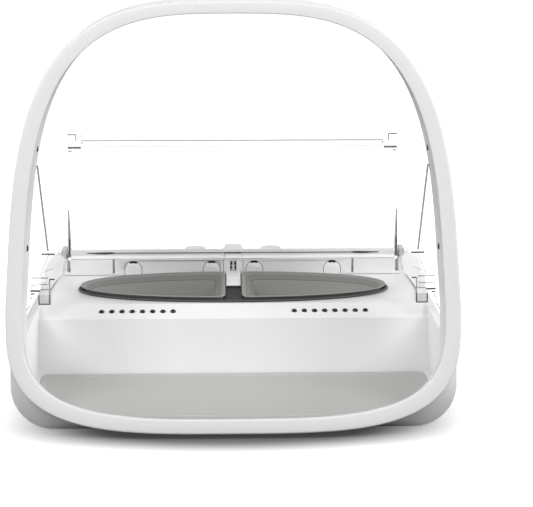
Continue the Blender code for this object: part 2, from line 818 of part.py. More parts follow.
def make_bowl_tray(feeder, dark):
    """Tray that hangs in the deck's opening, with a pocket for each bowl"""
    lip_under = DECK_TOP + GAP
    pocket_floor = BOWL_BASE - GAP
    foot = BOWL_OVERHANG + BOWL_DRAFT - BOWL_CLEARANCE - TRAY_WALL
    levels = (
        (foot + BOWL_ROUND, pocket_floor - TRAY_FLOOR),
        (foot, pocket_floor - TRAY_FLOOR + BOWL_ROUND),
        (0.0, lip_under),
        (-TRAY_LIP, lip_under),
        (-TRAY_LIP, TRAY_TOP),
    )
    rings = [oval(BOWL_LONG_HALF - inset, BOWL_SHORT_HALF - inset, z) for inset, z in levels]
    tray = add_piece("bowl_tray", loft(rings), dark, feeder)
    foot = BOWL_OVERHANG + BOWL_DRAFT
    straight_foot = STRAIGHT_OVERHANG + STRAIGHT_DRAFT
    for name, side in (("left", -1), ("right", 1)):
        pocket = [
            bowl_ring(side, foot + BOWL_ROUND, straight_foot + BOWL_ROUND, pocket_floor, BOWL_CLEARANCE),
            bowl_ring(side, foot, straight_foot, pocket_floor + BOWL_ROUND, BOWL_CLEARANCE),
            bowl_ring(side, BOWL_OVERHANG, STRAIGHT_OVERHANG, lip_under, BOWL_CLEARANCE),
            bowl_ring(side, BOWL_OVERHANG, STRAIGHT_OVERHANG, TRAY_TOP + OVERRUN, BOWL_CLEARANCE),
        ]
        cut(tray, f"pocket_{name}", loft(pocket))
    return tray


CATCH_HALF = 0.0042
CATCH_STEP = 0.0013
CATCH_DEPTH = 0.010
CATCH_STEP_DEPTH = 0.0035
CATCH_FRONT = HOUSING_FRONT - CATCH_DEPTH
CATCH_MIDDLE = CATCH_FRONT + CATCH_STEP_DEPTH


def make_tray_catch(feeder, white):
    """Stepped block on the tray between the two bowls' back corners"""
    low = TRAY_TOP + GAP
    back = HOUSING_FRONT - GAP
    step = low + CATCH_STEP
    steps = [(CATCH_FRONT, low), (back, low), (back, low + 2 * CATCH_STEP)]
    steps += [(CATCH_MIDDLE, low + 2 * CATCH_STEP), (CATCH_MIDDLE, step), (CATCH_FRONT, step)]
    return add_piece("tray_catch", bar(steps, -CATCH_HALF, CATCH_HALF), white, feeder)


LOAD_CELL_BACK = 0.0065
PLATE_THICKNESS = 0.0024
PLATE_NEAR = 0.014
PLATE_END_GAP = 0.0185
PLATE_FAR = BOWL_LONG_HALF - PLATE_END_GAP
PLATE_BACK = 0.018
CELL_BAR_NEAR = 0.022
CELL_BAR_END_GAP = 0.0265
CELL_BAR_FAR = BOWL_LONG_HALF - CELL_BAR_END_GAP


def make_weighing(feeder, steel, aluminium):
    """A plate and a load cell under each bowl, between the tray and the base's floor"""
    tray_bottom = BOWL_BASE - GAP - TRAY_FLOOR
    plate_top = tray_bottom - GAP
    plate_low = plate_top - PLATE_THICKNESS
    floor = BASE_BOTTOM + SHELL + GAP
    for name, side in (("left", -1), ("right", 1)):
        plate = mirrored_block(side, PLATE_NEAR, PLATE_FAR, BOWL_Y - PLATE_BACK, BOWL_Y + PLATE_BACK,
                               plate_low, plate_top)
        add_piece(f"scale_plate_{name}", plate, steel, feeder)
        cell = mirrored_block(side, CELL_BAR_NEAR, CELL_BAR_FAR, BOWL_Y - LOAD_CELL_BACK,
                              BOWL_Y + LOAD_CELL_BACK, floor, plate_low - GAP)
        add_piece(f"load_cell_{name}", cell, aluminium, feeder)


BOARD_HALF = 0.062
BOARD_LOW = 0.013
BOARD_HIGH = 0.037
BOARD_THICKNESS = 0.0016


def make_circuit_board(feeder, green):
    """Control board, fixed behind the front panel"""
    front = PANEL_Y + BAY_WALL + GAP
    board = block(-BOARD_HALF, BOARD_HALF, front, front + BOARD_THICKNESS, BOARD_LOW, BOARD_HIGH)
    return add_piece("circuit_board", board, green, feeder)


HOUSING_WALL = 0.0016
SLOT_LOW = 0.0015
SLOT_INNER_GAP = 0.0015
SLOT_OUTER_GAP = 0.0006
SIDE_SLOT_INNER = LID_HALF - SLOT_INNER_GAP
SIDE_SLOT_OUTER = LID_HALF + SLOT_OUTER_GAP
SLIT_TO_END = 0.0295
SLIT_X = HOUSING_HALF - SLIT_TO_END
SLIT_HALF = 0.0006
CENTRE_SLOT_HALF = 0.00185
CENTRE_SLOT_MARGIN = 0.0010


def make_hinge_housing(feeder, white):
    """Trough across the deck that holds the lid drive, slotted for the lid's cheeks"""
    low = DECK_TOP + GAP
    front_wall = SHELL
    housing = add_piece("hinge_housing", block(-HOUSING_HALF, HOUSING_HALF, HOUSING_FRONT, HOUSING_BACK,
                                               low, HOUSING_TOP), white, feeder)
    inner_half = HOUSING_HALF - HOUSING_WALL
    inside = block(-inner_half, inner_half, HOUSING_FRONT + front_wall, HOUSING_BACK - HOUSING_WALL,
                   low - OVERRUN, HOUSING_TOP + OVERRUN)
    cut(housing, "housing_inside", inside)
    front = HOUSING_FRONT - OVERRUN
    back = HOUSING_FRONT + front_wall + OVERRUN / 2
    for name, side in (("left", -1), ("right", 1)):
        slot = mirrored_block(side, SIDE_SLOT_INNER, SIDE_SLOT_OUTER, front, back,
                              low + SLOT_LOW, HOUSING_TOP + OVERRUN)
        cut(housing, f"cheek_slot_{name}", slot)
        slit = mirrored_block(side, SLIT_X - SLIT_HALF, SLIT_X + SLIT_HALF, front, back,
                              low + SLOT_LOW, HOUSING_TOP - SLOT_LOW)
        cut(housing, f"slit_{name}", slit)
    window = block(-CENTRE_SLOT_HALF, CENTRE_SLOT_HALF, front, back,
                   low + CENTRE_SLOT_MARGIN, HOUSING_TOP - CENTRE_SLOT_MARGIN)
    cut(housing, "centre_slot", window)
    return housing


def make_centre_tab(feeder, lens):
    """Pale tab in the slot at the middle of the housing's front wall"""
    low = DECK_TOP + GAP + CENTRE_SLOT_MARGIN + GAP
    high = HOUSING_TOP - CENTRE_SLOT_MARGIN - GAP
    half = CENTRE_SLOT_HALF / 2
    front = HOUSING_FRONT + GAP
    return add_piece("centre_tab", block(-half, half, front, HOUSING_FRONT + SHELL, low, high), lens, feeder)


COVER_HALF = 0.0052
COVER_TOP = 0.0647
COVER_WALL = 0.0012
BAR_SET_IN = 0.0015
BAR_FRONT = HOUSING_FRONT + BAR_SET_IN
BAR_BACK = HOUSING_BACK - BAR_SET_IN
BAR_TOP = 0.062
BAR_WALL = 0.0015
BAR_END_GAP = 0.0018
BAR_END = LID_HALF - BAR_END_GAP
CAP_GAP = 0.0011
CAP_LAP = 0.0006
CAP_HALF_DEPTH = 0.006
CAP_NEAR = LID_HALF + CAP_GAP
CAP_FAR = SHAFT_HALF + CAP_LAP
CAP_FRONT = HINGE_Y - CAP_HALF_DEPTH
CAP_BACK = HINGE_Y + CAP_HALF_DEPTH
BORE_CLEARANCE = 0.0003
BAR_LOW = HOUSING_TOP + GAP


def arch(front, back, wall, low, high):
    """An upside-down channel, drawn in Y and Z"""
    return [(front, low), (front + wall, low), (front + wall, high - wall), (back - wall, high - wall),
            (back - wall, low), (back, low), (back, high), (front, high)]


def shaft_notch(near, far):
    """Room for the hinge shaft, open below"""
    radius = SHAFT_RADIUS + BORE_CLEARANCE
    notch = [(HINGE_Y - radius, BAR_LOW - OVERRUN), (HINGE_Y + radius, BAR_LOW - OVERRUN)]
    notch += arc((HINGE_Y, HINGE_Z), radius, 0, 180, 6)
    return bar(notch, near, far)


def make_hinge_covers(feeder, clear, grey, white):
    """Clear bars over the shaft, grey bearing caps at the ends and a cover over the gear"""
    for name, side in (("left", -1), ("right", 1)):
        ends = sorted((side * (COVER_HALF + GAP), side * BAR_END))
        outline_points = arch(BAR_FRONT, BAR_BACK, BAR_WALL, BAR_LOW, BAR_TOP)
        add_piece(f"hinge_bar_{name}", bar(outline_points, *ends), clear, feeder)
        cap = mirrored_block(side, CAP_NEAR, CAP_FAR, CAP_FRONT, CAP_BACK, BAR_LOW, BAR_TOP)
        block_piece = add_piece(f"hinge_block_{name}", cap, grey, feeder)
        reach = sorted((side * (CAP_NEAR - OVERRUN), side * (SHAFT_HALF + GAP)))
        cut(block_piece, f"shaft_seat_{name}", shaft_notch(*reach))
    cover = add_piece("gear_cover", block(-COVER_HALF, COVER_HALF, HOUSING_FRONT + GAP, HOUSING_BACK - GAP,
                                          BAR_LOW, COVER_TOP), white, feeder)
    hollow = block(COVER_WALL - COVER_HALF, COVER_HALF - COVER_WALL, HOUSING_FRONT + GAP + COVER_WALL,
                   HOUSING_BACK - GAP - COVER_WALL, BAR_LOW - OVERRUN, COVER_TOP - COVER_WALL)
    cut(cover, "gear_room", hollow)
    cut(cover, "shaft_way", shaft_notch(-COVER_HALF - OVERRUN, COVER_HALF + OVERRUN))


CHEEK = 0.0012
EYE_RADIUS = 0.0038
CHEEK_REACH = 0.027
CLIP_WIDTH = 0.0078
CLIP_NEAR = LID_HALF - CLIP_WIDTH
CLIP_LAP = 0.0079
CLIP_BACK = LID_REACH - CLIP_LAP
CLIP_THICKNESS = 0.0016
GRIP_EDGE = 0.0019
GRIP_DEPTH = 0.0035
GRIP_THICKNESS = 0.0014


def make_lid(lid, clear, smoke):
    """Clear lid, drawn closed: a flat panel between two cheeks with eyes round the hinge shaft"""
    upper = LID_SHEET - LID_DROP
    middle = LID_SHEET / 2 - LID_DROP
    panel = block(-LID_HALF, LID_HALF, -LID_REACH, -LID_HEEL, -LID_DROP, upper)
    lid_panel = add_piece("lid_panel", panel, clear, lid)
    cheek = arc((0.0, 0.0), EYE_RADIUS, -115, 110, 12)
    cheek += [(-CHEEK_REACH, upper + CHEEK), (-CHEEK_REACH, middle), (-LID_HEEL, middle)]
    for name, side in (("left", -1), ("right", 1)):
        ends = sorted((side * (LID_HALF - CHEEK), side * LID_HALF))
        join(lid_panel, f"cheek_{name}", bar(cheek, *ends))
        hook = LID_REACH + GAP
        over = upper + GAP
        clip = [(-hook - CLIP_THICKNESS, -LID_DROP), (-hook, -LID_DROP), (-hook, over), (-CLIP_BACK, over)]
        clip += [(-CLIP_BACK, over + CLIP_THICKNESS), (-hook - CLIP_THICKNESS, over + CLIP_THICKNESS)]
        ends = sorted((side * CLIP_NEAR, side * LID_HALF))
        add_piece(f"lid_clip_{name}", bar(clip, *ends), smoke, lid)
    bore = pin((0.0, 0.0, 0.0), SHAFT_RADIUS + BORE_CLEARANCE, LID_HALF + OVERRUN, steps=16)
    cut(lid_panel, "shaft_bore", bore)
    grip_half = CLIP_NEAR - GAP
    grip_far = GRIP_EDGE - LID_REACH
    grip = block(-grip_half, grip_half, grip_far, grip_far + GRIP_DEPTH,
                 upper + GAP, upper + GAP + GRIP_THICKNESS)
    add_piece("lid_grip", grip, clear, lid)


TOOTH_ROOT_SHARE = 0.56
TOOTH_TIP_SHARE = 0.22
ADDENDUM_SHARE = 1.0
DEDENDUM_SHARE = 1.3
LID_GEAR_HALF = 0.003
PINION_HALF = 0.0025
PINION_SHAFT = 0.001
PINION_STUB = 0.0055
BRACKET_SHEET = 0.0015
BRACKET_MARGIN = 0.0022
PINION_Z = HINGE_Z - TOOTH_MODULE * (LID_TEETH + PINION_TEETH) / 2


def gear_outline(teeth, first):
    """A spur gear's outline in Y and Z, with one tooth's middle at the first angle"""
    pitch = TOOTH_MODULE * teeth / 2
    tip = pitch + TOOTH_MODULE * ADDENDUM_SHARE
    root = pitch - TOOTH_MODULE * DEDENDUM_SHARE
    step = 2 * math.pi / teeth
    points = []
    for number in range(teeth):
        middle = first + number * step
        for radius, share in ((root, -TOOTH_ROOT_SHARE), (tip, -TOOTH_TIP_SHARE),
                              (tip, TOOTH_TIP_SHARE), (root, TOOTH_ROOT_SHARE)):
            angle = middle + share * step / 2
            points.append((radius * math.cos(angle), radius * math.sin(angle)))
    return points


def make_drive(feeder, lid, drive, steel, brass, black):
    """Hinge shaft and lid gear, and the pinion, motor and bracket under them"""
    add_piece("hinge_shaft", pin((0.0, 0.0, 0.0), SHAFT_RADIUS, SHAFT_HALF, steps=16), steel, lid)
    down = LID_OPEN - math.radians(90)
    lid_gear = add_piece("lid_gear", bar(gear_outline(LID_TEETH, down), -LID_GEAR_HALF, LID_GEAR_HALF),
                         brass, lid)
    bore = pin((0.0, 0.0, 0.0), SHAFT_RADIUS + BORE_CLEARANCE, LID_GEAR_HALF + OVERRUN, steps=16)
    cut(lid_gear, "gear_bore", bore)
    gap_up = math.radians(90) + math.pi / PINION_TEETH
    pinion = add_piece("drive_pinion", bar(gear_outline(PINION_TEETH, gap_up), -PINION_HALF, PINION_HALF),
                       brass, drive)
    stub = turned([(0.0, PINION_SHAFT), (PINION_HALF + PINION_STUB, PINION_SHAFT)], (0.0, 0.0, 0.0), 12, "X")
    join(pinion, "pinion_stub", stub)
    bracket_top = DECK_TOP - SHELL - GAP
    motor = add_piece("drive_motor", block(MOTOR_START, MOTOR_END, MOTOR_FRONT, MOTOR_BACK,
                                           bracket_top + GAP, MOTOR_TOP), black, feeder)
    reach = PINION_HALF + PINION_STUB + GAP
    radius = PINION_SHAFT + BORE_CLEARANCE
    stub_hole = turned([(0.0, radius), (reach, radius)], (0.0, HINGE_Y, PINION_Z), 12, "X")
    cut(motor, "stub_hole", stub_hole)
    bracket = block(MOTOR_START - BRACKET_MARGIN, MOTOR_END + BRACKET_MARGIN, MOTOR_FRONT - BRACKET_MARGIN,
                    MOTOR_BACK + BRACKET_MARGIN, bracket_top - BRACKET_SHEET, bracket_top)
    add_piece("motor_bracket", bracket, steel, feeder)


REAR_SLOPE = math.atan2(REAR_SLOPE_DROP, REAR_SLOPE_END - REAR_SLOPE_START)
BUTTON_ALONG = 0.0245
BUTTON_PITCH = 0.024
BUTTON_RADIUS = 0.006
BUTTON_FLANGE = 0.0012
BUTTON_FLANGE_SHEET = 0.0008
BUTTON_PROUD = 0.0006
BUTTON_CHAMFER = 0.0004
BUTTON_STEPS = 20


def on_rear_slope(x, along, out):
    """A place on the rear cover's slope: along it to the back, and out from its face"""
    y = REAR_SLOPE_START + along * math.cos(REAR_SLOPE) + out * math.sin(REAR_SLOPE)
    z = REAR_TOP - along * math.sin(REAR_SLOPE) + out * math.cos(REAR_SLOPE)
    return (x, y, z)


def rear_skin(start, inset, low):
    """The rear cover as a solid, from a front plane to the back"""
    rings = []
    rows = plan_stations(start, inset)
    rows = sorted(rows + [REAR_SLOPE_START])
    for y in rows:
        top = rear_top(y, inset)
        section = rounded_section(plan_half(y, inset), low, top, 0, REAR_SHOULDER - inset)
        rings.append(across(y, section))
    return loft(rings)


def make_rear_cover(feeder, white):
    """Rear shell over the batteries, with three round openings for the buttons"""
    front = HOUSING_BACK + GAP
    cover = add_piece("rear_cover", rear_skin(front, 0.0, SEAM + GAP), white, feeder)
    cut(cover, "rear_hollow", rear_skin(front + SHELL, SHELL, SEAM - OVERRUN))
    for number in (-1, 0, 1):
        rings = []
        last = 360 * (BUTTON_STEPS - 1) / BUTTON_STEPS
        circle = arc((0.0, 0.0), BUTTON_RADIUS + GAP, 0, last, BUTTON_STEPS - 1)
        for out in (-OVERRUN, OVERRUN):
            rings.append([on_rear_slope(number * BUTTON_PITCH + x, BUTTON_ALONG + y, out)
                          for x, y in circle])
        cut(cover, f"button_opening_{number + 2}", loft(rings))
    return cover


def make_buttons(feeder, grey):
    """Three push buttons, held from behind by their flanges"""
    flange_top = -SHELL - GAP
    rings = [
        (flange_top - BUTTON_FLANGE_SHEET, BUTTON_RADIUS + BUTTON_FLANGE),
        (flange_top, BUTTON_RADIUS + BUTTON_FLANGE),
        (flange_top, BUTTON_RADIUS),
        (BUTTON_PROUD - BUTTON_CHAMFER, BUTTON_RADIUS),
        (BUTTON_PROUD, BUTTON_RADIUS - BUTTON_CHAMFER),
    ]
    for number in (1, 2, 3):
        place = on_rear_slope((number - 2) * BUTTON_PITCH, BUTTON_ALONG, 0.0)
        seat = add_empty(f"button_{number}_travel", place, feeder, -REAR_SLOPE)
        add_piece(f"button_{number}", turned(rings, (0.0, 0.0, 0.0), BUTTON_STEPS), grey, seat)


CELL_EDGE = 0.0006
CONTACT_REACH = 0.005
CONTACT_HALF = 0.006
NUB_RADIUS = 0.0032


def make_power(feeder, black, cell_finish, steel, white):
    """Two battery boxes with their contacts, cells and sliding doors"""
    floor = BASE_BOTTOM + SHELL + GAP
    for name, side, first in (("left", -1, 1), ("right", 1, 3)):
        outer = mirrored_block(side, BOX_INNER_X - BOX_WALL, BOX_OUTER_X + BOX_WALL, BOX_FRONT_Y - BOX_WALL,
                               BOX_BACK_Y + BOX_WALL, floor, BOX_TOP + BOX_WALL)
        box = add_piece(f"battery_box_{name}", outer, black, feeder)
        cut(box, f"cell_room_{name}", mirrored_block(side, BOX_INNER_X, BOX_OUTER_X, BOX_FRONT_Y, BOX_BACK_Y,
                                                     floor - OVERRUN, BOX_TOP))
        reach = CELL_SPACING / 2 + CONTACT_REACH
        contact = mirrored_block(side, BOX_INNER_X + GAP, CELL_X - GAP, CELL_MIDDLE_Y - reach,
                                 CELL_MIDDLE_Y + reach, CELL_Z - CONTACT_HALF, CELL_Z + CONTACT_HALF)
        add_piece(f"battery_contact_{name}", contact, steel, feeder)
        for number, way in ((0, 1), (1, -1)):
            middle = side * (CELL_X + CELL_LENGTH / 2)
            y = CELL_MIDDLE_Y + (number - 0.5) * CELL_SPACING
            half = CELL_LENGTH / 2
            body = half - CELL_NUB
            rings = [(-half, CELL_RADIUS - CELL_EDGE), (CELL_EDGE - half, CELL_RADIUS)]
            rings += [(body - CELL_EDGE, CELL_RADIUS), (body, CELL_RADIUS - CELL_EDGE)]
            rings += [(body, NUB_RADIUS), (half, NUB_RADIUS)]
            rings = [(way * along, radius) for along, radius in rings]
            cell = turned(rings, (middle, y, CELL_Z), 24, "X")
            add_piece(f"battery_{first + number}", cell, cell_finish, feeder)
        door = mirrored_block(side, BOX_INNER_X - DOOR_LAP, BOX_OUTER_X + DOOR_LAP, BOX_FRONT_Y - DOOR_LAP,
                              BOX_BACK_Y + DOOR_LAP, DOOR_TOP - DOOR_THICKNESS, DOOR_TOP)
        add_piece(f"battery_door_{name}", door, white, feeder,
                  (side * (CELL_X + CELL_LENGTH / 2), CELL_MIDDLE_Y, DOOR_TOP))


FOOT_RADIUS = 0.007
FOOT_CHAMFER = 0.0006
FRONT_FOOT_SIDE = 0.032
FRONT_FOOT_X = BASE_HALF - FRONT_FOOT_SIDE
FRONT_FOOT_Y = 0.040
REAR_FOOT_SHARE = 0.59
REAR_FOOT_X = REAR_FOOT_SHARE * (BOX_INNER_X - DOOR_LAP)
REAR_FOOT_TO_BACK = 0.027
REAR_FOOT_Y = DEPTH - REAR_FOOT_TO_BACK


def make_feet(feeder, rubber):
    """Four rubber feet under the base"""
    rings = [(0.0, FOOT_RADIUS - FOOT_CHAMFER), (FOOT_CHAMFER, FOOT_RADIUS)]
    rings.append((BASE_BOTTOM - GAP, FOOT_RADIUS))
    for name, x, y in (("front", FRONT_FOOT_X, FRONT_FOOT_Y), ("rear", REAR_FOOT_X, REAR_FOOT_Y)):
        for hand, side in (("left", -1), ("right", 1)):
            add_piece(f"foot_{name}_{hand}", turned(rings, (side * x, y, 0.0), 24), rubber, feeder)


SHIELD_SIDE = 0.0152
SHIELD_NEAR = BASE_HALF - SHIELD_SIDE
SHIELD_SHEET = 0.0015
SHIELD_FRONT = 0.045
SHIELD_RUN = 0.0395
SHIELD_LOW = 0.061
SHIELD_RISE = 0.072
SHIELD_OUTLINE_SHARES = (
    (0.16, 1.0),
    (1.0, 0.264),
    (1.0, 0.208),
    (0.79, 0.0),
    (0.63, 0.0),
    (0.83, 0.195),
    (0.0, 0.19),
)
MOUNT_SIDE = 0.005
MOUNT_LEG_SIDE = 0.0077
MOUNT_FAR = BASE_HALF - MOUNT_SIDE
MOUNT_LEG = BASE_HALF - MOUNT_LEG_SIDE
MOUNT_FRONT = 0.070
MOUNT_BACK = 0.092
MOUNT_LOW = 0.058
MOUNT_TOP = 0.066


def make_shields(feeder, clear, frosted):
    """Clear side shields behind the hoop and the brackets that carry them on the deck's edge"""
    outline_points = [(SHIELD_FRONT + SHIELD_RUN * y, SHIELD_LOW + SHIELD_RISE * z)
                      for y, z in SHIELD_OUTLINE_SHARES]
    for name, side in (("left", -1), ("right", 1)):
        ends = sorted((side * SHIELD_NEAR, side * (SHIELD_NEAR + SHIELD_SHEET)))
        add_piece(f"side_shield_{name}", bar(outline_points, *ends), clear, feeder)
        near = SHIELD_NEAR + SHIELD_SHEET + GAP
        section = [(near, MOUNT_LOW), (MOUNT_LEG, MOUNT_LOW), (MOUNT_LEG, DECK_TOP + GAP)]
        section += [(MOUNT_FAR, DECK_TOP + GAP), (MOUNT_FAR, MOUNT_TOP), (near, MOUNT_TOP)]
        section = [(side * x, z) for x, z in section]
        add_piece(f"shield_bracket_{name}", rail(section, MOUNT_FRONT, MOUNT_BACK), frosted, feeder)


def main():
    """Build the feeder"""
    clear_scene()
    white = finish("white_plastic", (0.86, 0.86, 0.87), 0.42)
    panel_grey = finish("warm_grey_plastic", (0.52, 0.51, 0.50), 0.45)
    mat_grey = finish("mat_grey_rubber", (0.50, 0.48, 0.46), 0.75)
    tray_grey = finish("dark_grey_plastic", (0.16, 0.16, 0.16), 0.55)
    clear = finish("clear_plastic", (0.93, 0.95, 0.96), 0.06, clear=1.0)
    frosted = finish("frosted_plastic", (0.85, 0.87, 0.88), 0.30, clear=0.8)
    smoke = finish("smoked_plastic", (0.08, 0.08, 0.09), 0.20)
    black = finish("black_plastic", (0.04, 0.04, 0.045), 0.50)
    rubber = finish("grey_rubber", (0.10, 0.10, 0.105), 0.80)
    steel = finish("plated_steel", (0.62, 0.63, 0.65), 0.32, metallic=1.0)
    aluminium = finish("milled_aluminium", (0.70, 0.71, 0.73), 0.38, metallic=1.0)
    brass = finish("cut_brass", (0.72, 0.56, 0.28), 0.34, metallic=1.0)
    copper = finish("copper_band", (0.72, 0.40, 0.25), 0.36, metallic=1.0)
    board = finish("board_green", (0.05, 0.26, 0.14), 0.45)
    cell_finish = finish("cell_sleeve", (0.10, 0.12, 0.16), 0.35)

    feeder = add_empty("feeder", (0.0, -DEPTH / 2, 0.0))
    lid = add_empty("lid_pivot", (0.0, HINGE_Y, HINGE_Z), feeder, -LID_OPEN)
    drive = add_empty("drive_pivot", (0.0, HINGE_Y, PINION_Z), feeder)

    outlines = hoop_outlines()
    make_hoop_front(feeder, outlines, white)
    hoop_rear = make_hoop_rear(feeder, outlines, white)
    make_antenna_coil(feeder, outlines, copper)
    make_sensors(feeder, hoop_rear, smoke)
    make_base_tub(feeder, white)
    make_deck_cover(feeder, white)
    make_rear_cover(feeder, white)
    make_light_guides(feeder, smoke)
    make_mat(feeder, mat_grey)
    make_bowls(feeder, panel_grey)
    make_bowl_tray(feeder, tray_grey)
    make_tray_catch(feeder, white)
    make_weighing(feeder, steel, aluminium)
    make_circuit_board(feeder, board)
    make_hinge_housing(feeder, white)
    make_centre_tab(feeder, frosted)
    make_hinge_covers(feeder, frosted, panel_grey, white)
    make_lid(lid, clear, smoke)
    make_drive(feeder, lid, drive, steel, brass, black)
    make_power(feeder, black, cell_finish, steel, white)
    make_buttons(feeder, panel_grey)
    make_feet(feeder, rubber)
    make_shields(feeder, clear, frosted)


main()
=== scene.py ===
"""Looks of a microchip pet feeder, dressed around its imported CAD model, in metres."""
import math

import bmesh
import bpy
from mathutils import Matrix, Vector


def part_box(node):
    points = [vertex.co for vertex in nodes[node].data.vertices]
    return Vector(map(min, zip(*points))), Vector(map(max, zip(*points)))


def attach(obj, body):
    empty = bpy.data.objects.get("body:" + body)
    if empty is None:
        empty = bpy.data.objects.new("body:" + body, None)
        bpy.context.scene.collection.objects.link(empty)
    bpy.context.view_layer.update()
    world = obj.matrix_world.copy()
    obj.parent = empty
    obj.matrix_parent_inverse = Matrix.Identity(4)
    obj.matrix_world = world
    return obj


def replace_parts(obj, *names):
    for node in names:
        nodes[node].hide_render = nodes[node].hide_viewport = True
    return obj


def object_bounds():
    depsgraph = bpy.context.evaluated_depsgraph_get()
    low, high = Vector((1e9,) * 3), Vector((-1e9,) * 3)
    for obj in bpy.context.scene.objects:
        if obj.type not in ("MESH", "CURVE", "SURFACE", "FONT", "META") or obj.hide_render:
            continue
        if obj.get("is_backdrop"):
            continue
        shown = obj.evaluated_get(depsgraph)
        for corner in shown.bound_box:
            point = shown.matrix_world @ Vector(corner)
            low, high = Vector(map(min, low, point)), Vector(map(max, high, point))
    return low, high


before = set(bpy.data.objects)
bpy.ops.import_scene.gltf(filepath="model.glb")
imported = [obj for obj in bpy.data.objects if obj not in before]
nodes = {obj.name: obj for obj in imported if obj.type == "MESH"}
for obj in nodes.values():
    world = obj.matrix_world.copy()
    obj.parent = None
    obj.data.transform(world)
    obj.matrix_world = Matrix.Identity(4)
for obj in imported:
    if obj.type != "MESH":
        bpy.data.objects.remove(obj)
cad_low, cad_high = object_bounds()

# Photographer's table: the feeder stands on pale board in a white room, and is taken from the
# front and a little above with a long lens. Two large soft boxes stand in front, with a small one
# high and one low between them. One behind and two at the sides lift the edges.
camera_data = bpy.data.cameras.new("camera")
camera_data.sensor_width = 36.0
camera_data.lens = 103.0
look_down = 12.87
look_right = 1.40
camera = bpy.data.objects.new("camera", camera_data)
camera.location = (-0.00183, -0.8548, 0.2646)
camera.rotation_euler = (math.radians(90 - look_down), 0.0, math.radians(-look_right))
bpy.context.scene.collection.objects.link(camera)
bpy.context.scene.camera = camera
bpy.context.scene.view_settings.view_transform = "Standard"


def soft_box(name, place, aim, size, watts):
    """A square area lamp that faces one point"""
    lamp = bpy.data.lights.new(name, "AREA")
    lamp.size = size
    lamp.energy = watts
    holder = bpy.data.objects.new(name, lamp)
    holder.location = place
    holder.rotation_euler = (Vector(aim) - Vector(place)).to_track_quat("-Z", "Y").to_euler()
    bpy.context.scene.collection.objects.link(holder)


middle = (0.0, 0.0, 0.08)
soft_box("left_box", (-0.85, -1.25, 1.30), middle, 0.8, 14.2)
soft_box("right_box", (0.95, -1.05, 1.25), middle, 0.8, 12.8)
soft_box("front_box", (-0.05, -1.13, 1.92), middle, 0.3, 3.6)
soft_box("low_box", (0.0, -2.20, 0.30), middle, 0.6, 3.6)
soft_box("back_box", (0.0, 2.0, 0.85), middle, 1.2, 3.0)
soft_box("left_side_box", (-1.6, 0.40, 0.75), middle, 0.8, 9.0)
soft_box("right_side_box", (1.6, 0.40, 0.50), middle, 0.8, 17.0)


def node_with(tree, kind, operation=None, values=None):
    """A shader node with its operation and the values of its inputs"""
    made = tree.nodes.new("ShaderNode" + kind)
    if operation:
        made.operation = operation
    for socket, value in (values or {}).items():
        made.inputs[socket].default_value = value
    return made


def joined(tree, *pairs):
    """Link each pair of an output and an input"""
    for source, target in pairs:
        tree.links.new(source, target)


def bright_for_lens(tree, lit, seen):
    """A value that is seen by the camera, and through clear plastic, and lit elsewhere"""
    path = node_with(tree, "LightPath")
    either = node_with(tree, "Math", "MAXIMUM")
    choice = node_with(tree, "MapRange", None, {"To Min": lit, "To Max": seen})
    joined(tree, (path.outputs["Is Camera Ray"], either.inputs[0]),
           (path.outputs["Is Transmission Ray"], either.inputs[1]),
           (either.outputs[0], choice.inputs["Value"]))
    return choice.outputs["Result"]


def soft_range(tree, near, far, low, high):
    """A value that goes smoothly from low to high between two distances"""
    made = node_with(tree, "MapRange", None,
                     {"From Min": near, "From Max": far, "To Min": low, "To Max": high})
    made.interpolation_type = "SMOOTHSTEP"
    return made


world = bpy.data.worlds.new("white_room")
bpy.context.scene.world = world
world.use_nodes = True
backdrop = world.node_tree.nodes["Background"]
backdrop.inputs["Color"].default_value = (1.0, 1.0, 1.0, 1.0)
joined(world.node_tree, (bright_for_lens(world.node_tree, 0.30, 1.0), backdrop.inputs["Strength"]))

table_mesh = bpy.data.meshes.new("table")
table_half = 30.0
table_corners = [(x * table_half, y * table_half, 0.0) for x, y in ((-1, -1), (1, -1), (1, 1), (-1, 1))]
table_mesh.from_pydata(table_corners, [], [(0, 1, 2, 3)])
table = bpy.data.objects.new("table", table_mesh)
bpy.context.scene.collection.objects.link(table)
board = bpy.data.materials.new("pale_board")
board.use_nodes = True
board_tree = board.node_tree
board_shader = board_tree.nodes["Principled BSDF"]
board_shader.inputs["Roughness"].default_value = 0.9
board_shader.inputs["Specular IOR Level"].default_value = 0.0
board_shader.inputs["Emission Color"].default_value = (1.0, 1.0, 1.0, 1.0)
# Painted shadow: the board's colour, and its glow seen by the camera, both grow with the distance from an
# oval round the feeder's foot. So a painted shadow lies round the foot, on top of the real one.
shadow_oval = (0.29, 1.0, 1.0)
shadow_half = 0.105
spot = node_with(board_tree, "TexCoord")
mirrored_spot = node_with(board_tree, "VectorMath", "ABSOLUTE")
outside = node_with(board_tree, "VectorMath", "MULTIPLY_ADD", {1: shadow_oval, 2: (0.0, -shadow_half, 0.0)})
beyond = node_with(board_tree, "VectorMath", "MAXIMUM", {1: (0.0, 0.0, 0.0)})
away = node_with(board_tree, "VectorMath", "LENGTH")
rise = soft_range(board_tree, 0.0185, 0.0420, 0.045, 0.90)
shade = soft_range(board_tree, 0.010, 0.060, 0.14, 0.60)
board_glow_painted_shadow = node_with(board_tree, "Math", "MULTIPLY")
board_colour_painted_shadow = node_with(board_tree, "Math", "MULTIPLY")
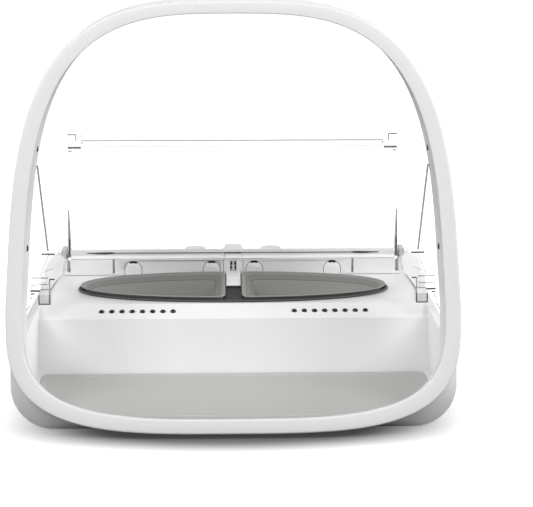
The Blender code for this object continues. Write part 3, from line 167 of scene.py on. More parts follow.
joined(board_tree, (spot.outputs["Object"], mirrored_spot.inputs[0]),
       (mirrored_spot.outputs["Vector"], outside.inputs[0]),
       (outside.outputs["Vector"], beyond.inputs[0]), (beyond.outputs["Vector"], away.inputs[0]),
       (away.outputs["Value"], rise.inputs["Value"]), (away.outputs["Value"], shade.inputs["Value"]),
       (rise.outputs["Result"], board_glow_painted_shadow.inputs[0]), (shade.outputs["Result"], board_colour_painted_shadow.inputs[0]),
       (bright_for_lens(board_tree, 0.0, 1.0), board_glow_painted_shadow.inputs[1]),
       (bright_for_lens(board_tree, 0.3, 1.0), board_colour_painted_shadow.inputs[1]),
       (board_glow_painted_shadow.outputs[0], board_shader.inputs["Emission Strength"]),
       (board_colour_painted_shadow.outputs[0], board_shader.inputs["Base Color"]))
table_mesh.materials.append(board)
table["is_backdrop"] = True

# Reader hoop, front shell: white ABS, injection moulded with a fine spark texture, its edges
# rounded. It is an open channel that holds the reader's coil and clips to the rear shell.
feeder_depth = 0.245
front_y = cad_high.y - feeder_depth
foot_z = 0.003
hoop_lean = math.radians(12.0)
lean_slope = math.tan(hoop_lean)
lean_height = math.cos(hoop_lean)
hoop_half = 0.1155
hoop_waist = 0.064 * lean_height
hoop_rise = 0.1554 * lean_height
waist_z = foot_z + hoop_waist
side_band = 0.0081
top_band = 0.0065
foot_band = 0.0076
front_shell = 0.009
hoop_depth = 0.023
quarter_steps = 44
gathering = 1.65
crown_power = 3.4
flank_power = 3.2
narrowing = 0.04
hollowing = 0.03
flare_end = 0.058
flare_height = 0.040
foot_flare = 0.26


def eased(steps):
    """Angles from 0 to a right angle, close together half way"""
    angles = []
    for step in range(steps + 1):
        share = step / steps
        share = share ** gathering / (share ** gathering + (1 - share) ** gathering)
        angles.append(share * math.pi / 2)
    return angles


def mirrored(right):
    """Points of a right side, and the same points back down the left side"""
    return right + [(-x, z) for x, z in reversed(right)]


def hoop_outline(half, rise, drop, corner_power):
    """Stations round the hoop, from the foot up the right side and down the left"""
    power = 2 / corner_power
    right = [(half * math.cos(a) ** power, waist_z - drop * math.sin(a) ** power)
             for a in reversed(eased(quarter_steps))]
    right[0] = (0.0, waist_z - drop)
    for a in eased(quarter_steps)[1:]:
        lift = math.sin(a) ** (2 / crown_power)
        taper = 1 - narrowing * lift - hollowing * lift * (1 - lift)
        right.append((half * taper * abs(math.cos(a)) ** (2 / flank_power), waist_z + rise * lift))
    right[-1] = (0.0, waist_z + rise)
    return right + [(-x, z) for x, z in reversed(right[1:-1])]


def boxy_outline(half, rise, drop, corner):
    """The same stations where the hoop meets the base, with straight sides and round corners"""
    plain = hoop_outline(half, rise, drop, 3.25)
    foot = []
    for a in reversed(eased(quarter_steps)):
        third = 3 * a / (math.pi / 2)
        turn = (third - 1) * math.pi / 2
        if third < 1:
            foot.append((half, waist_z - (drop - corner) * third))
        elif third < 2:
            foot.append((half - corner * (1 - math.cos(turn)),
                         waist_z - drop + corner * (1 - math.sin(turn))))
        else:
            foot.append(((half - corner) * (3 - third), waist_z - drop))
    left = [(-x, z) for x, z in reversed(foot[1:])]
    return foot + plain[len(foot):len(plain) - len(left)] + left


def station(outer, inner, inset, depth, edge):
    """A place on the leaning hoop: at an inset from its outer or inner edge, and a depth"""
    start, end = (outer, inner) if edge == "outer" else (inner, outer)
    gap = math.hypot(end[0] - start[0], end[1] - start[1])
    x = start[0] + (end[0] - start[0]) * inset / gap
    z = start[1] + (end[1] - start[1]) * inset / gap
    return (x, front_y + depth + (z - foot_z) * lean_slope, z)


def corner_arc(edge, inset, depth, inset_to, depth_to, steps=4):
    """Profile points that round a corner from one place to another"""
    points = []
    for step in range(steps + 1):
        turn = step / steps * math.pi / 2
        across = inset + (inset_to - inset) * (1 - math.cos(turn))
        along = depth + (depth_to - depth) * math.sin(turn)
        if inset > inset_to:
            across = inset + (inset_to - inset) * math.sin(turn)
            along = depth + (depth_to - depth) * (1 - math.cos(turn))
        points.append((edge, across, along))
    return points


def clamped(value):
    """A value kept between 0 and 1"""
    return min(1.0, max(0.0, value))


def skinned(name, rings, round_trip=False, sharp=35.0):
    """A mesh object skinned over rings, closed into a loop or capped at both ends"""
    mesh = bpy.data.meshes.new(name)
    shape = bmesh.new()
    rows = [[shape.verts.new(point) for point in ring] for ring in rings]
    pairs = list(zip(rows, rows[1:]))
    if round_trip:
        pairs.append((rows[-1], rows[0]))
    for low, high in pairs:
        for index in range(len(low)):
            after = (index + 1) % len(low)
            shape.faces.new((low[index], low[after], high[after], high[index]))
    if not round_trip:
        shape.faces.new(rows[0])
        shape.faces.new(rows[-1])
    bmesh.ops.recalc_face_normals(shape, faces=shape.faces)
    shape.to_mesh(mesh)
    shape.free()
    piece = bpy.data.objects.new(name, mesh)
    bpy.context.scene.collection.objects.link(piece)
    mesh.shade_smooth()
    mesh.set_sharp_from_angle(angle=math.radians(sharp))
    return piece


def fixed_to(piece, body, slot, material, *replaced):
    """Give a piece its material and body, and hide the CAD nodes that it stands for. The slot argument is
    not used.
    """
    piece.data.materials.clear()
    piece.data.materials.append(material)
    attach(piece, body)
    if replaced:
        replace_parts(piece, *replaced)
    return piece


spark_texture = bpy.data.node_groups.new("spark_texture", "ShaderNodeTree")
for side, label, kind in (("INPUT", "Colour", "Color"), ("INPUT", "Grain Scale", "Float"),
                          ("INPUT", "Roughness", "Float"), ("INPUT", "Variation", "Float"),
                          ("OUTPUT", "Colour", "Color"), ("OUTPUT", "Roughness", "Float"),
                          ("OUTPUT", "Height", "Float")):
    spark_texture.interface.new_socket(label, in_out=side, socket_type="NodeSocket" + kind)
group_in = spark_texture.nodes.new("NodeGroupInput")
group_out = spark_texture.nodes.new("NodeGroupOutput")
place = node_with(spark_texture, "TexCoord")
grain = node_with(spark_texture, "TexNoise", None, {"Detail": 3.0})
smudge = node_with(spark_texture, "TexNoise", None, {"Scale": 38.0, "Detail": 4.0})
shift = node_with(spark_texture, "Math", "MULTIPLY_ADD")
tone = node_with(spark_texture, "MapRange", None, {"To Min": 0.965, "To Max": 1.0})
centred = node_with(spark_texture, "Math", "SUBTRACT", {1: 0.5})
tint = node_with(spark_texture, "Mix")
tint.data_type = "RGBA"
tint.blend_type = "MULTIPLY"
tint.inputs["Factor"].default_value = 1.0
joined(spark_texture, (place.outputs["Object"], grain.inputs["Vector"]),
       (place.outputs["Object"], smudge.inputs["Vector"]),
       (group_in.outputs["Grain Scale"], grain.inputs["Scale"]),
       (smudge.outputs["Fac"], centred.inputs[0]), (centred.outputs[0], shift.inputs[0]),
       (group_in.outputs["Variation"], shift.inputs[1]), (group_in.outputs["Roughness"], shift.inputs[2]),
       (shift.outputs[0], group_out.inputs["Roughness"]),
       (smudge.outputs["Fac"], tone.inputs["Value"]), (group_in.outputs["Colour"], tint.inputs["A"]),
       (tone.outputs["Result"], tint.inputs["B"]), (tint.outputs["Result"], group_out.inputs["Colour"]),
       (grain.outputs["Fac"], group_out.inputs["Height"]))


def moulded(name, colour, roughness, grain_scale=2600.0, grain_depth=0.00002, variation=0.12, shine=None):
    """A moulded or metal finish with its fine texture, faint handling marks and own shine"""
    material = bpy.data.materials.new(name)
    material.use_nodes = True
    tree = material.node_tree
    shader = tree.nodes["Principled BSDF"]
    texture = tree.nodes.new("ShaderNodeGroup")
    texture.node_tree = spark_texture
    for socket, value in (("Colour", (*colour, 1.0)), ("Grain Scale", grain_scale),
                          ("Roughness", roughness), ("Variation", variation)):
        texture.inputs[socket].default_value = value
    bump = node_with(tree, "Bump", None, {"Strength": 0.35, "Distance": grain_depth})
    joined(tree, (texture.outputs["Colour"], shader.inputs["Base Color"]),
           (texture.outputs["Roughness"], shader.inputs["Roughness"]),
           (texture.outputs["Height"], bump.inputs["Height"]),
           (bump.outputs["Normal"], shader.inputs["Normal"]))
    for socket, value in (shine or {}).items():
        shader.inputs[socket].default_value = value
    return material


shell_white = moulded("shell_white", (0.83, 0.83, 0.835), 0.42)
inner_half = hoop_half - side_band
inner_rise = hoop_rise - top_band * lean_height
outer_edge = hoop_outline(hoop_half, hoop_rise, hoop_waist, 3.48)
inner_edge = hoop_outline(inner_half, inner_rise, hoop_waist - foot_band * lean_height, 3.52)
wall = 0.0014
outer_round = 0.0014
inner_round = 0.0006
seam_round = 0.0003
seam_start = front_shell - seam_round
front_profile = corner_arc("outer", 0.0, outer_round, outer_round, 0.0)
front_profile += reversed(corner_arc("inner", 0.0, inner_round, inner_round, 0.0))
front_profile += corner_arc("inner", 0.0, seam_start, seam_round, front_shell, 2)
front_profile += [("inner", 2 * wall, front_shell), ("inner", 2 * wall, wall), ("outer", wall, wall),
                  ("outer", wall, front_shell)]
front_profile += reversed(corner_arc("outer", 0.0, seam_start, seam_round, front_shell, 2))
rings = []
for outer, inner in zip(outer_edge, inner_edge):
    low_share = clamped((flare_end - inner[1]) / flare_height)
    flare = foot_flare * low_share * low_share * (3 - 2 * low_share)
    ring = []
    for edge, inset, depth in front_profile:
        if edge == "inner":
            inset += flare * max(0.0, depth - inner_round)
        ring.append(station(outer, inner, inset, depth, edge))
    rings.append(ring)
fixed_to(skinned("hoop_face", rings, True), "base", "white_plastic", shell_white, "hoop_front")

# Reader hoop, rear shell: the same white ABS. Its foot spreads out to the base's section, so
# the lower corners fall back under the face, and it screws to the base behind it.
joint_gap = 0.0004
base_edge = boxy_outline(hoop_half, hoop_rise, hoop_waist + 0.0021, 0.0218)
bay_drop = waist_z - 0.0075
step_edge = hoop_outline(inner_half, inner_rise, bay_drop, 3.5)
bay_edge = boxy_outline(inner_half, inner_rise, bay_drop, 0.0055)
back_start = front_shell + joint_gap
back_profile = [("outer", seam_round, back_start), ("outer", wall, back_start),
                ("outer", wall, hoop_depth - wall), ("inner", wall, hoop_depth - wall),
                ("inner", wall, back_start), ("inner", seam_round, back_start),
                ("inner", 0.0, back_start + seam_round)]
rear_round = 0.0006
side_deeper = 0.0045
back_profile += [("inner", 0.0, hoop_depth * 0.55), ("inner", 0.0, hoop_depth - rear_round),
                 ("inner", rear_round, hoop_depth), ("outer", rear_round, hoop_depth),
                 ("outer", 0.0, hoop_depth - rear_round), ("outer", 0.0, hoop_depth * 0.8),
                 ("outer", 0.0, hoop_depth * 0.6), ("outer", 0.0, back_start + seam_round)]


def blended(first, second, share):
    """Stations part of the way from one outline to another"""
    return (first[0] + (second[0] - first[0]) * share, first[1] + (second[1] - first[1]) * share)


rings = []
for index in range(len(outer_edge)):
    ring = []
    deeper = side_deeper * clamped((inner_edge[index][1] - 0.050) / 0.030)
    for edge, inset, depth in back_profile:
        share = (depth - back_start) / (hoop_depth - back_start)
        outer = blended(outer_edge[index], base_edge[index], clamped(1.6 * share))
        inner = blended(step_edge[index], bay_edge[index], share)
        ring.append(station(outer, inner, inset, depth + deeper * share, edge))
    rings.append(ring)
fixed_to(skinned("hoop_back", rings, True), "base", "white_plastic", shell_white, "hoop_rear")

# Reader coil: enamelled copper wire wound flat in the front shell's channel, and bonded there.
# It reads the chip when an animal puts its head through the hoop.
copper_enamel = moulded("copper_enamel", (0.42, 0.13, 0.045), 0.3, 900.0, 0.000004, 0.1,
                        {"Metallic": 1.0, "Coat Weight": 0.6})
coil_inset = wall + 0.0005
coil_front = coil_inset
coil_back = front_shell - 0.0012
coil_turns = 7
turn_pitch = (coil_back - coil_front) / coil_turns
rings = []
for outer, inner in zip(outer_edge, inner_edge):
    inner_inset = coil_inset + 0.0026 * clamped((flare_end - inner[1]) / flare_height)
    ring = [station(outer, inner, coil_inset, coil_front, "outer")]
    for turn in range(coil_turns):
        near = coil_front + turn * turn_pitch
        for inset, share in ((0.0, 0.0), (0.0, 0.82), (0.00025, 0.91)):
            ring.append(station(outer, inner, inner_inset + inset, near + share * turn_pitch, "inner"))
    ring.append(station(outer, inner, coil_inset, coil_back, "outer"))
    rings.append(ring)
fixed_to(skinned("reader_coil", rings, True, 30.0), "base", "copper_band", copper_enamel, "antenna_coil")

# Lower base: one deep moulded pan in the same white ABS, its floor rounding up into the sides
# and the back, with two openings for the batteries.
def edged(name, node, width):
    """A copy of a CAD node's shape with its sharp edges rounded as a mould leaves them"""
    mesh = nodes[node].data.copy()
    mesh.name = name
    shape = bmesh.new()
    shape.from_mesh(mesh)
    bmesh.ops.remove_doubles(shape, verts=shape.verts, dist=0.000005)
    bmesh.ops.dissolve_limit(shape, angle_limit=math.radians(0.6), verts=shape.verts, edges=shape.edges)
    shape.to_mesh(mesh)
    shape.free()
    piece = bpy.data.objects.new(name, mesh)
    bpy.context.scene.collection.objects.link(piece)
    return softened(piece, width)


def softened(piece, width, steps=2, sharp=24.0, limit=24.0):
    """Round a piece's edges and shade it smooth between the ones that stay sharp"""
    bevel = piece.modifiers.new("rounding", "BEVEL")
    bevel.width = width
    bevel.segments = steps
    bevel.limit_method = "ANGLE"
    bevel.angle_limit = math.radians(limit)
    bevel.miter_outer = "MITER_ARC"
    return settled(piece, sharp)


def settled(piece, sharp=35.0):
    """Make a piece's modifiers part of its mesh"""
    seen = piece.evaluated_get(bpy.context.evaluated_depsgraph_get())
    mesh = bpy.data.meshes.new_from_object(seen)
    piece.modifiers.clear()
    piece.data = mesh
    mesh.shade_smooth()
    mesh.set_sharp_from_angle(angle=math.radians(sharp))
    return piece


def edged_node(name, node, width, slot, material, body="base"):
    """The CAD node's own shape with rounded edges, fixed in its place"""
    return fixed_to(edged(name, node, width), body, slot, material, node)


edged_node("base_pan", "base_tub", 0.0004, "white_plastic", shell_white)

# Deck: the upper shell in white ABS. The feeding bay, its front panel, the sloping strip and the
# deck round the bowls are one moulding, which drops over the pan with a fine shadow gap.
deck_back, deck_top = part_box("deck_cover")[1].yz
deck_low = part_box("rear_cover")[0].z
base_half = cad_high.x
shell_wall = 0.0022
bay_half = 0.108
bay_floor = 0.0075
bay_corner = 0.0055
bay_wall = 0.0016
panel_y = front_y + 0.084
panel_top = 0.0412
slope_run = 0.0115
slope_angle = math.atan2(deck_top - panel_top, slope_run)
overrun = 0.004
shoulder_front = 0.0083
shoulder_growth = 0.0042
shoulder_run = 0.096


def carved(piece, tool, operation="DIFFERENCE"):
    """Cut a tool's shape from a piece, or join it on, and remove the tool"""
    change = piece.modifiers.new("carving", "BOOLEAN")
    change.operation = operation
    change.solver = "EXACT"
    change.object = tool
    settled(piece)
    bpy.data.objects.remove(tool)
    return piece


def tall(outline, *levels):
    """Rings of a piece with one upright outline at several depths"""
    return [[(x, y, z) for x, z in outline] for y in levels]


def flat(outline, *levels):
    """Rings of a piece with one plan at several heights"""
    return [[(x, y, z) for x, y in outline] for z in levels]


def round_arc(x, z, run, rise, start, end, steps):
    """Points of an arc across the piece, from one angle in degrees to another"""
    angles = [math.radians(start + (end - start) * step / steps) for step in range(steps + 1)]
    return [(x + run * math.cos(a), z + rise * math.sin(a)) for a in angles]


def deck_solid(name, front, back, inset, low):
    """The deck as a solid with rounded shoulders that widen to the back"""
    rings = []
    for y in (front, panel_y, panel_y + 0.045, back):
        shoulder = shoulder_front + shoulder_growth * max(0.0, (y - panel_y) / shoulder_run) - inset
        rise = min(shoulder, 0.9 * (deck_top - inset - low))
        centre_x = base_half - inset - shoulder
        right = [(base_half - inset, low)]
        right += round_arc(centre_x, deck_top - inset - rise, shoulder, rise, 0, 90, 10)
        rings += tall(mirrored(right), y)
    return skinned(name, rings)


def bay_solid(name, front, wall_thickness, high):
    """The feeding bay as a solid, grown by a wall"""
    corner = bay_corner + wall_thickness
    back = panel_y + wall_thickness
    crease_z = panel_top - wall_thickness * (1 / math.cos(slope_angle) - math.tan(slope_angle))
    slope_back = back + (high - crease_z) / math.tan(slope_angle)
    centre_z = bay_floor - wall_thickness + corner
    right = round_arc(bay_half - bay_corner, centre_z, corner, corner, -90, 0, 10)
    rings = []
    for x, low in [(-x, z) for x, z in reversed(right)] + right:
        rings.append([(x, front, low), (x, back, low), (x, back, crease_z), (x, slope_back, high),
                      (x, front, high)])
    return skinned(name, rings)


def squared(value, power):
    """A sine or cosine raised to a power that squares an oval's corners, with its sign"""
    return math.copysign(abs(value) ** power, value)


def bowl_oval(long_half, short_half, steps=96):
    """The oval plan round both bowls"""
    angles = [2 * math.pi * (step + 0.5) / steps for step in range(steps)]
    return [(long_half * squared(math.cos(a), 2 / bowl_power),
             bowl_y + short_half * squared(math.sin(a), 2 / bowl_power)) for a in angles]


def cross_piece(name, x0, x1, outline_points):
    """A piece across the feeder between two planes, from an outline in depth and height"""
    return skinned(name, [[(x, y, z) for y, z in outline_points] for x in (x0, x1)])


bowl_y = front_y + 0.129
bowl_long = 0.0885
bowl_short = 0.0303
bowl_power = 2.15
bowl_gap = 0.0003
deck = deck_solid("deck", front_y, deck_back, 0.0, deck_low)
hollow_low = deck_low - 0.005
carved(deck, deck_solid("deck_hollow", front_y - overrun, deck_back + overrun, shell_wall, hollow_low))
carved(deck, bay_solid("bay_skin", front_y + overrun, bay_wall, deck_top - shell_wall / 2), "UNION")
carved(deck, bay_solid("bay_room", front_y - overrun, 0.0, deck_top + overrun))
hole = bowl_oval(bowl_long + bowl_gap, bowl_short + bowl_gap)
carved(deck, skinned("tray_hole", flat(hole, 0.040, 0.052)))
behind_hoop = [(front_y + hoop_depth + 0.0003 + (z - foot_z) * lean_slope, z)
               for z in (-overrun, waist_z)]
hoop_room = [(front_y - 2 * overrun, -overrun), *behind_hoop, (front_y - 2 * overrun, waist_z)]
carved(deck, cross_piece("hoop_plane", -base_half - overrun, base_half + overrun, hoop_room))
softened(deck, 0.0007, 3)
pip_first = 0.0338
pip_pitch = 0.00568
pip_radius = 0.00135
pip_along = 0.52 * slope_run / math.cos(slope_angle)


def on_strip(x, along, out):
    """A place on the sloping strip, from its lower edge up, and out from its face"""
    return (x, panel_y + along * math.cos(slope_angle) - out * math.sin(slope_angle),
            panel_top + along * math.sin(slope_angle) + out * math.cos(slope_angle))


def strip_disc(x, radius, out, steps=20):
    """A circle of points on the strip round one indicator"""
    turns = [2 * math.pi * step / steps for step in range(steps)]
    return [on_strip(x + radius * math.cos(a), pip_along + radius * math.sin(a), out) for a in turns]


pip_places = [side * (pip_first + number * pip_pitch) for side in (-1, 1) for number in range(8)]
hole_levels = ((0.00155, -0.004), (0.00155, -0.0003), (0.00195, 0.0001), (0.00195, 0.002))
for x in pip_places:
    carved(deck, skinned("pip_hole", [strip_disc(x, radius, out) for radius, out in hole_levels]))
deck.data.set_sharp_from_angle(angle=math.radians(24))
fixed_to(deck, "base", "white_plastic", shell_white, "deck_cover")

# Indicators: sixteen domed ends of two smoked light guides, moulded in tinted acrylic, that
# come through the sloping strip from behind.
smoked = moulded("smoked_acrylic", (0.012, 0.012, 0.013), 0.22, 400.0, 0.000002, 0.04)
lens_levels = ((1.0, -0.0012), (1.0, -0.0002), (0.93, 0.0001), (0.75, 0.0003), (0.45, 0.0004),
               (0.12, 0.00043))
for number, x in enumerate(pip_places, 1):
    rings = [strip_disc(x, share * pip_radius, out) for share, out in lens_levels]
    fixed_to(skinned(f"indicator_{number}", rings), "base", "smoked_plastic", smoked)

# Rear cover: one white ABS moulding over the battery boxes, which slopes to the back. It has a
# round opening for each push button.
edged_node("rear_shell", "rear_cover", 0.0005, "white_plastic", shell_white)

# Mat: one thin moulding of soft grey rubber with a low rim that keeps crumbs in. It lies on the
# bay's floor, fills it to the walls and lifts out at the front.
mat_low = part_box("mat")[0].z
mat_thick = 0.0012
mat_back = panel_y - 0.0006
mat_gap = 0.0005
mat_corner = 0.004
mat_grey = moulded("mat_rubber", (0.485, 0.483, 0.472), 0.72, 1500.0, 0.00004, 0.08,
                   {"Specular IOR Level": 0.3})


def bay_half_at(depth, height):
    """Half the width of the hoop's inner foot at a depth behind its face, at one height"""
    share = clamped((depth - back_start) / (hoop_depth - back_start))
    places = [blended(step_edge[i], bay_edge[i], share) for i in range(2 * quarter_steps)]
    for (x0, z0), (x1, z1) in zip(places, places[1:]):
        if z0 <= height < z1:
            return x0 + (x1 - x0) * (height - z0) / (z1 - z0)
    return places[-1][0]


def mat_outline(inset, height):
    """The mat's plan at a height, drawn in from the walls by an inset"""
    clear = mat_gap + inset
    depths = [back_start + clear + (hoop_depth - back_start) * (step / 14) ** 1.4 for step in range(15)]
    lean = (height - foot_z) * lean_slope
    right = [(bay_half_at(depth - clear, height) - clear, front_y + depth + lean) for depth in depths]
    corner_run = math.sqrt(bay_corner ** 2 - (bay_corner - height + bay_floor) ** 2)
    back_half = bay_half - bay_corner + corner_run - clear
    right += [(back_half, front_y + hoop_depth + lean + 0.010)]
    bend = mat_corner - min(inset, 0.003)
    right += round_arc(back_half - bend, mat_back - inset - bend, bend, bend, 0, 90, 5)
    return [(x, y, height) for x, y in mirrored(right)]


mat_top = mat_low + mat_thick
rim_top = mat_top + 0.0009
mat_profile = ((0.0, mat_low), (0.0, rim_top - 0.0003), (0.0003, rim_top), (0.0012, rim_top),
               (0.0016, rim_top - 0.0003), (0.0022, mat_top), (0.0030, mat_top - 0.0001))
mat_rings = [mat_outline(inset, height) for inset, height in mat_profile]
fixed_to(skinned("mat_pad", mat_rings), "bay_mat", "mat_rubber", mat_grey, "mat")

# Bowl tray: one dark grey moulding that drops into the deck's opening and rests on the scale. A
# lip seals it to the deck, and a rounded pocket holds each bowl.
bowl_base, bowl_top = [corner.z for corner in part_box("bowl_left")]
tray_low, tray_top = [corner.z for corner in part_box("bowl_tray")]
bowl_side = 0.0047
bowl_corner = 0.006
bowl_foot = 0.0089
bowl_round = 0.003
straight_foot = 0.0042
lip_width = 0.0014
lip_low = deck_top + 0.0003


def half_bowl(side, inset, straight_inset, height, steps=40, corner_steps=8):
    """One bowl's plan at a height: half an oval with a straight inner edge and round corners"""
    straight = bowl_side + straight_inset
    long_half = bowl_long - inset
    short_half = bowl_short - inset
    limit = math.acos(((straight + bowl_corner) / long_half) ** (bowl_power / 2))
    right = []
    for step in range(steps + 1):
        a = limit * (2 * step / steps - 1)
        right.append((long_half * math.cos(a) ** (2 / bowl_power),
                      short_half * squared(math.sin(a), 2 / bowl_power)))
    end = right[-1]
    for step in range(1, corner_steps + 1):
        share = step / corner_steps
        right.append((straight + bowl_corner * (1 - share) ** 2, end[1] - bowl_corner * share ** 2))
    right += [(x, -y) for x, y in reversed(right[-corner_steps:])]
    return [(side * x, bowl_y + y, height) for x, y in right]


def edge_faces(piece, material, test):
    """Give the faces that pass a test a further material"""
    piece.data.materials.append(material)
    number = len(piece.data.materials) - 1
    for face in piece.data.polygons:
        if test(face.center, face.normal):
            face.material_index = number
    return piece


tray_grey = moulded("tray_dark_grey", (0.040, 0.040, 0.039), 0.55, shine={"Specular IOR Level": 0.12})
# Painted highlight: the lip's faces take a lighter grey than the rest of the dark tray, for the light that
# the rounded lip catches.
tray_lip_painted_highlight = moulded("lip_painted_highlight_grey", (0.085, 0.085, 0.083), 0.5, shine={"Specular IOR Level": 0.2})
tray_profile = [(bowl_foot - 0.0019, tray_low), (bowl_foot - 0.0039, tray_low + 0.0024), (0.0, lip_low),
                (0.0003 - lip_width, lip_low), (-lip_width, lip_low + 0.0002),
                (-lip_width, tray_top - 0.0004), (0.0002 - lip_width, tray_top - 0.0001),
                (0.0004 - lip_width, tray_top), (0.0012 - lip_width, tray_top),
                (0.0014 - lip_width, tray_top - 0.0003), (0.0030, tray_top - 0.0004)]
rings = []
for inset, z in tray_profile:
    rings += flat(bowl_oval(bowl_long - inset, bowl_short - inset), z)
tray = skinned("tray", rings)
for side in (-1, 1):
    pocket = [half_bowl(side, bowl_foot + 0.0022, straight_foot + 0.0022, bowl_base - 0.0003),
              half_bowl(side, bowl_foot - 0.0005, straight_foot - 0.0005, bowl_base + 0.0024),
              half_bowl(side, 0.0014, 0.0005, tray_top - 0.0012),
              half_bowl(side, 0.0011, 0.0003, tray_top + 0.003)]
    carved(tray, skinned("tray_pocket", pocket))
fixed_to(tray, "base", "dark_grey_plastic", tray_grey, "bowl_tray")


def on_lip(centre, normal):
    """Whether a face of the tray is on its lip, outside the bowls' oval"""
    out_long = abs(centre.x) / (bowl_long + 0.0004)
    out_short = abs(centre.y - bowl_y) / (bowl_short + 0.0004)
    return centre.z > lip_low - 0.0001 and out_long ** bowl_power + out_short ** bowl_power > 1


# Painted highlight on the lip's faces.
edge_faces(tray, tray_lip_painted_highlight, on_lip)

# Half bowls: thin mouldings in warm grey polypropylene, polished inside so that they rinse
# clean, with a small rounded rim and round corners. Each lifts straight out of the tray.
bowl_grey = moulded("bowl_warm_grey", (0.265, 0.263, 0.254), 0.42, 900.0, 0.00001, 0.10,
                    {"Specular IOR Level": 0.25})
# Painted shade: the inner wall below the rim takes a darker grey, and the small ledge a near-black line,
# for the shade that falls on them.
bowl_wall_painted_shade = moulded("bowl_inner_wall_painted_shade", (0.222, 0.220, 0.212), 0.6, 900.0, 0.00001, 0.10,
                    {"Specular IOR Level": 0.2})
bowl_ledge_painted_shade = moulded("bowl_ledge_painted_shade_line", (0.10, 0.10, 0.095), 0.6)
bowl_wall = 0.0013
rim_wall = 0.0007
ledge_z = bowl_top - 0.0039
ledge_top = ledge_z + 0.0002
band_top = bowl_top - 0.0012


def bowl_profile():
    """Insets from the oval and from the straight edge, and heights, round one bowl's wall"""
    points = []
    for step in range(6):
        a = math.radians(90 * step / 5)
        in_now = bowl_round * (1 - math.sin(a))
        height = bowl_base + bowl_round * (1 - math.cos(a))
        points.append((bowl_foot + in_now, straight_foot + in_now, height))
    points += [(0.0019, 0.0010, bowl_top - rim_wall), (0.0002, 0.0002, bowl_top - rim_wall)]
    for inset, below in ((0.0, 0.0005), (0.0001, 0.0001), (0.0004, 0.0), (0.0009, 0.0), (0.0013, 0.0002)):
        points.append((inset, inset, bowl_top - below))
    points.append((0.0019 + bowl_wall, 0.0010 + bowl_wall, bowl_top - 0.0011))
    points += [(0.0050, 0.0057, ledge_top), (0.0053, 0.0060, ledge_z)]
    wall_in = 0.0140
    floor_z = bowl_base + bowl_wall
    tight = 0.0050
    for step in range(7):
        a = math.radians(90 * step / 6)
        in_now = tight * (1 - math.cos(a))
        points.append((wall_in + in_now, wall_in - 0.003 + in_now, floor_z + tight * (1 - math.sin(a))))
    return points


both_sides = (("left", -1), ("right", 1))
for name, side in both_sides:
    rings = [half_bowl(side, inset, straight, height) for inset, straight, height in bowl_profile()]
    dish = skinned(f"{name}_dish", rings, False, 50)
    fixed_to(dish, f"{name}_bowl", "warm_grey_plastic", bowl_grey, f"bowl_{name}")
    # Painted shade on the ledge and on the inner wall below the rim.
    edge_faces(dish, bowl_ledge_painted_shade, lambda centre, normal: ledge_z < centre.z < ledge_top)
    edge_faces(dish, bowl_wall_painted_shade, lambda centre, normal: ledge_top < centre.z < band_top and normal.z > 0.1)

# Tray catch: a low stepped tongue of white ABS between the bowls, clipped to the tray's bridge
# and hooked under the hinge housing.
catch_low, catch_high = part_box("tray_catch")
catch_steps = [(0.0245, 0.0), (0.0245, 0.0007), (0.0241, 0.0010), (0.0125, 0.0010), (0.0121, 0.0006),
               (0.0115, 0.0006), (0.0110, 0.0013)]
catch_side = [(catch_low.y - before, catch_low.z + up) for before, up in catch_steps]
catch_side += [(catch_high.y, catch_low.z + 0.0013), (catch_high.y, catch_low.z)]
catch = cross_piece("catch_block", catch_low.x, catch_high.x, catch_side)
fixed_to(softened(catch, 0.00015), "base", "white_plastic", shell_white, "tray_catch")

# Hinge housing: a white ABS trough across the deck that holds the lid drive. Its front wall is
# slotted for the lid's cheeks and has four arched covers, each flush, with a fine gap round it
# and a finger notch at the top.
housing_front, housing_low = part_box("hinge_housing")[0].yz
housing_half, housing_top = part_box("hinge_housing")[1].xz
notch_top = housing_top - 0.0070
housing_before = housing_front - 0.001
trough = edged("hinge_trough", "hinge_housing", 0.0003)


def slab_between(name, x0, x1, y0, y1, z0, z1):
    """A plain block between two corners, for a cut or a small piece"""
    return skinned(name, flat([(x0, y0), (x1, y0), (x1, y1), (x0, y1)], z0, z1))


arch_radius = 0.0053
arch_z = housing_top - 0.0061
arch_foot = housing_low + 0.0004
fine_gap = 0.0003
finger_gap = 0.0013
for x in (-0.0602, -0.0130, 0.0127, 0.0597):
    rings = []
    path = [(x - arch_radius, arch_foot, 180)]
    for degrees in range(180, -1, -6):
        a = math.radians(degrees)
        path.append((x + arch_radius * math.cos(a), arch_z + arch_radius * math.sin(a), degrees))
    path.append((x + arch_radius, arch_foot, 0))
    for place_x, place_z, degrees in path:
        at_notch = 66 <= degrees <= 114
        gap = finger_gap if at_notch else fine_gap
        deep = housing_front + gap + 0.0003
        inner_x = place_x - gap * math.cos(math.radians(degrees))
        inner_z = place_z - gap * math.sin(math.radians(degrees))
        rings.append([(place_x, housing_before, place_z), (place_x, deep, place_z),
                      (inner_x, deep, inner_z), (inner_x, housing_before, inner_z)])
    carved(trough, skinned("arch_gap", rings))
seam_half = 0.00013
slit_half = 0.0006
for side in (-1, 1):
    seam_x = side * 0.0059
    carved(trough, slab_between("panel_seam", seam_x - seam_half, seam_x + seam_half, housing_before,
                                housing_front + 0.0005, housing_low + 0.0003, housing_top - 0.0003))
    wedge = [(housing_half + 0.001, housing_top - 0.0008), (housing_half - 0.0025, housing_top - 0.0012),
             (housing_half - 0.0004, notch_top), (housing_half + 0.001, notch_top)]
    wedge = [(side * x, z) for x, z in wedge]
    carved(trough, skinned("end_notch", tall(wedge, housing_before, housing_front + 0.0013)))
    slit_x = side * 0.0720
    carved(trough, slab_between("tall_slit", slit_x - slit_half, slit_x + slit_half, housing_before,
                                housing_front + 0.003, housing_low + 0.0011, housing_top + 0.001))
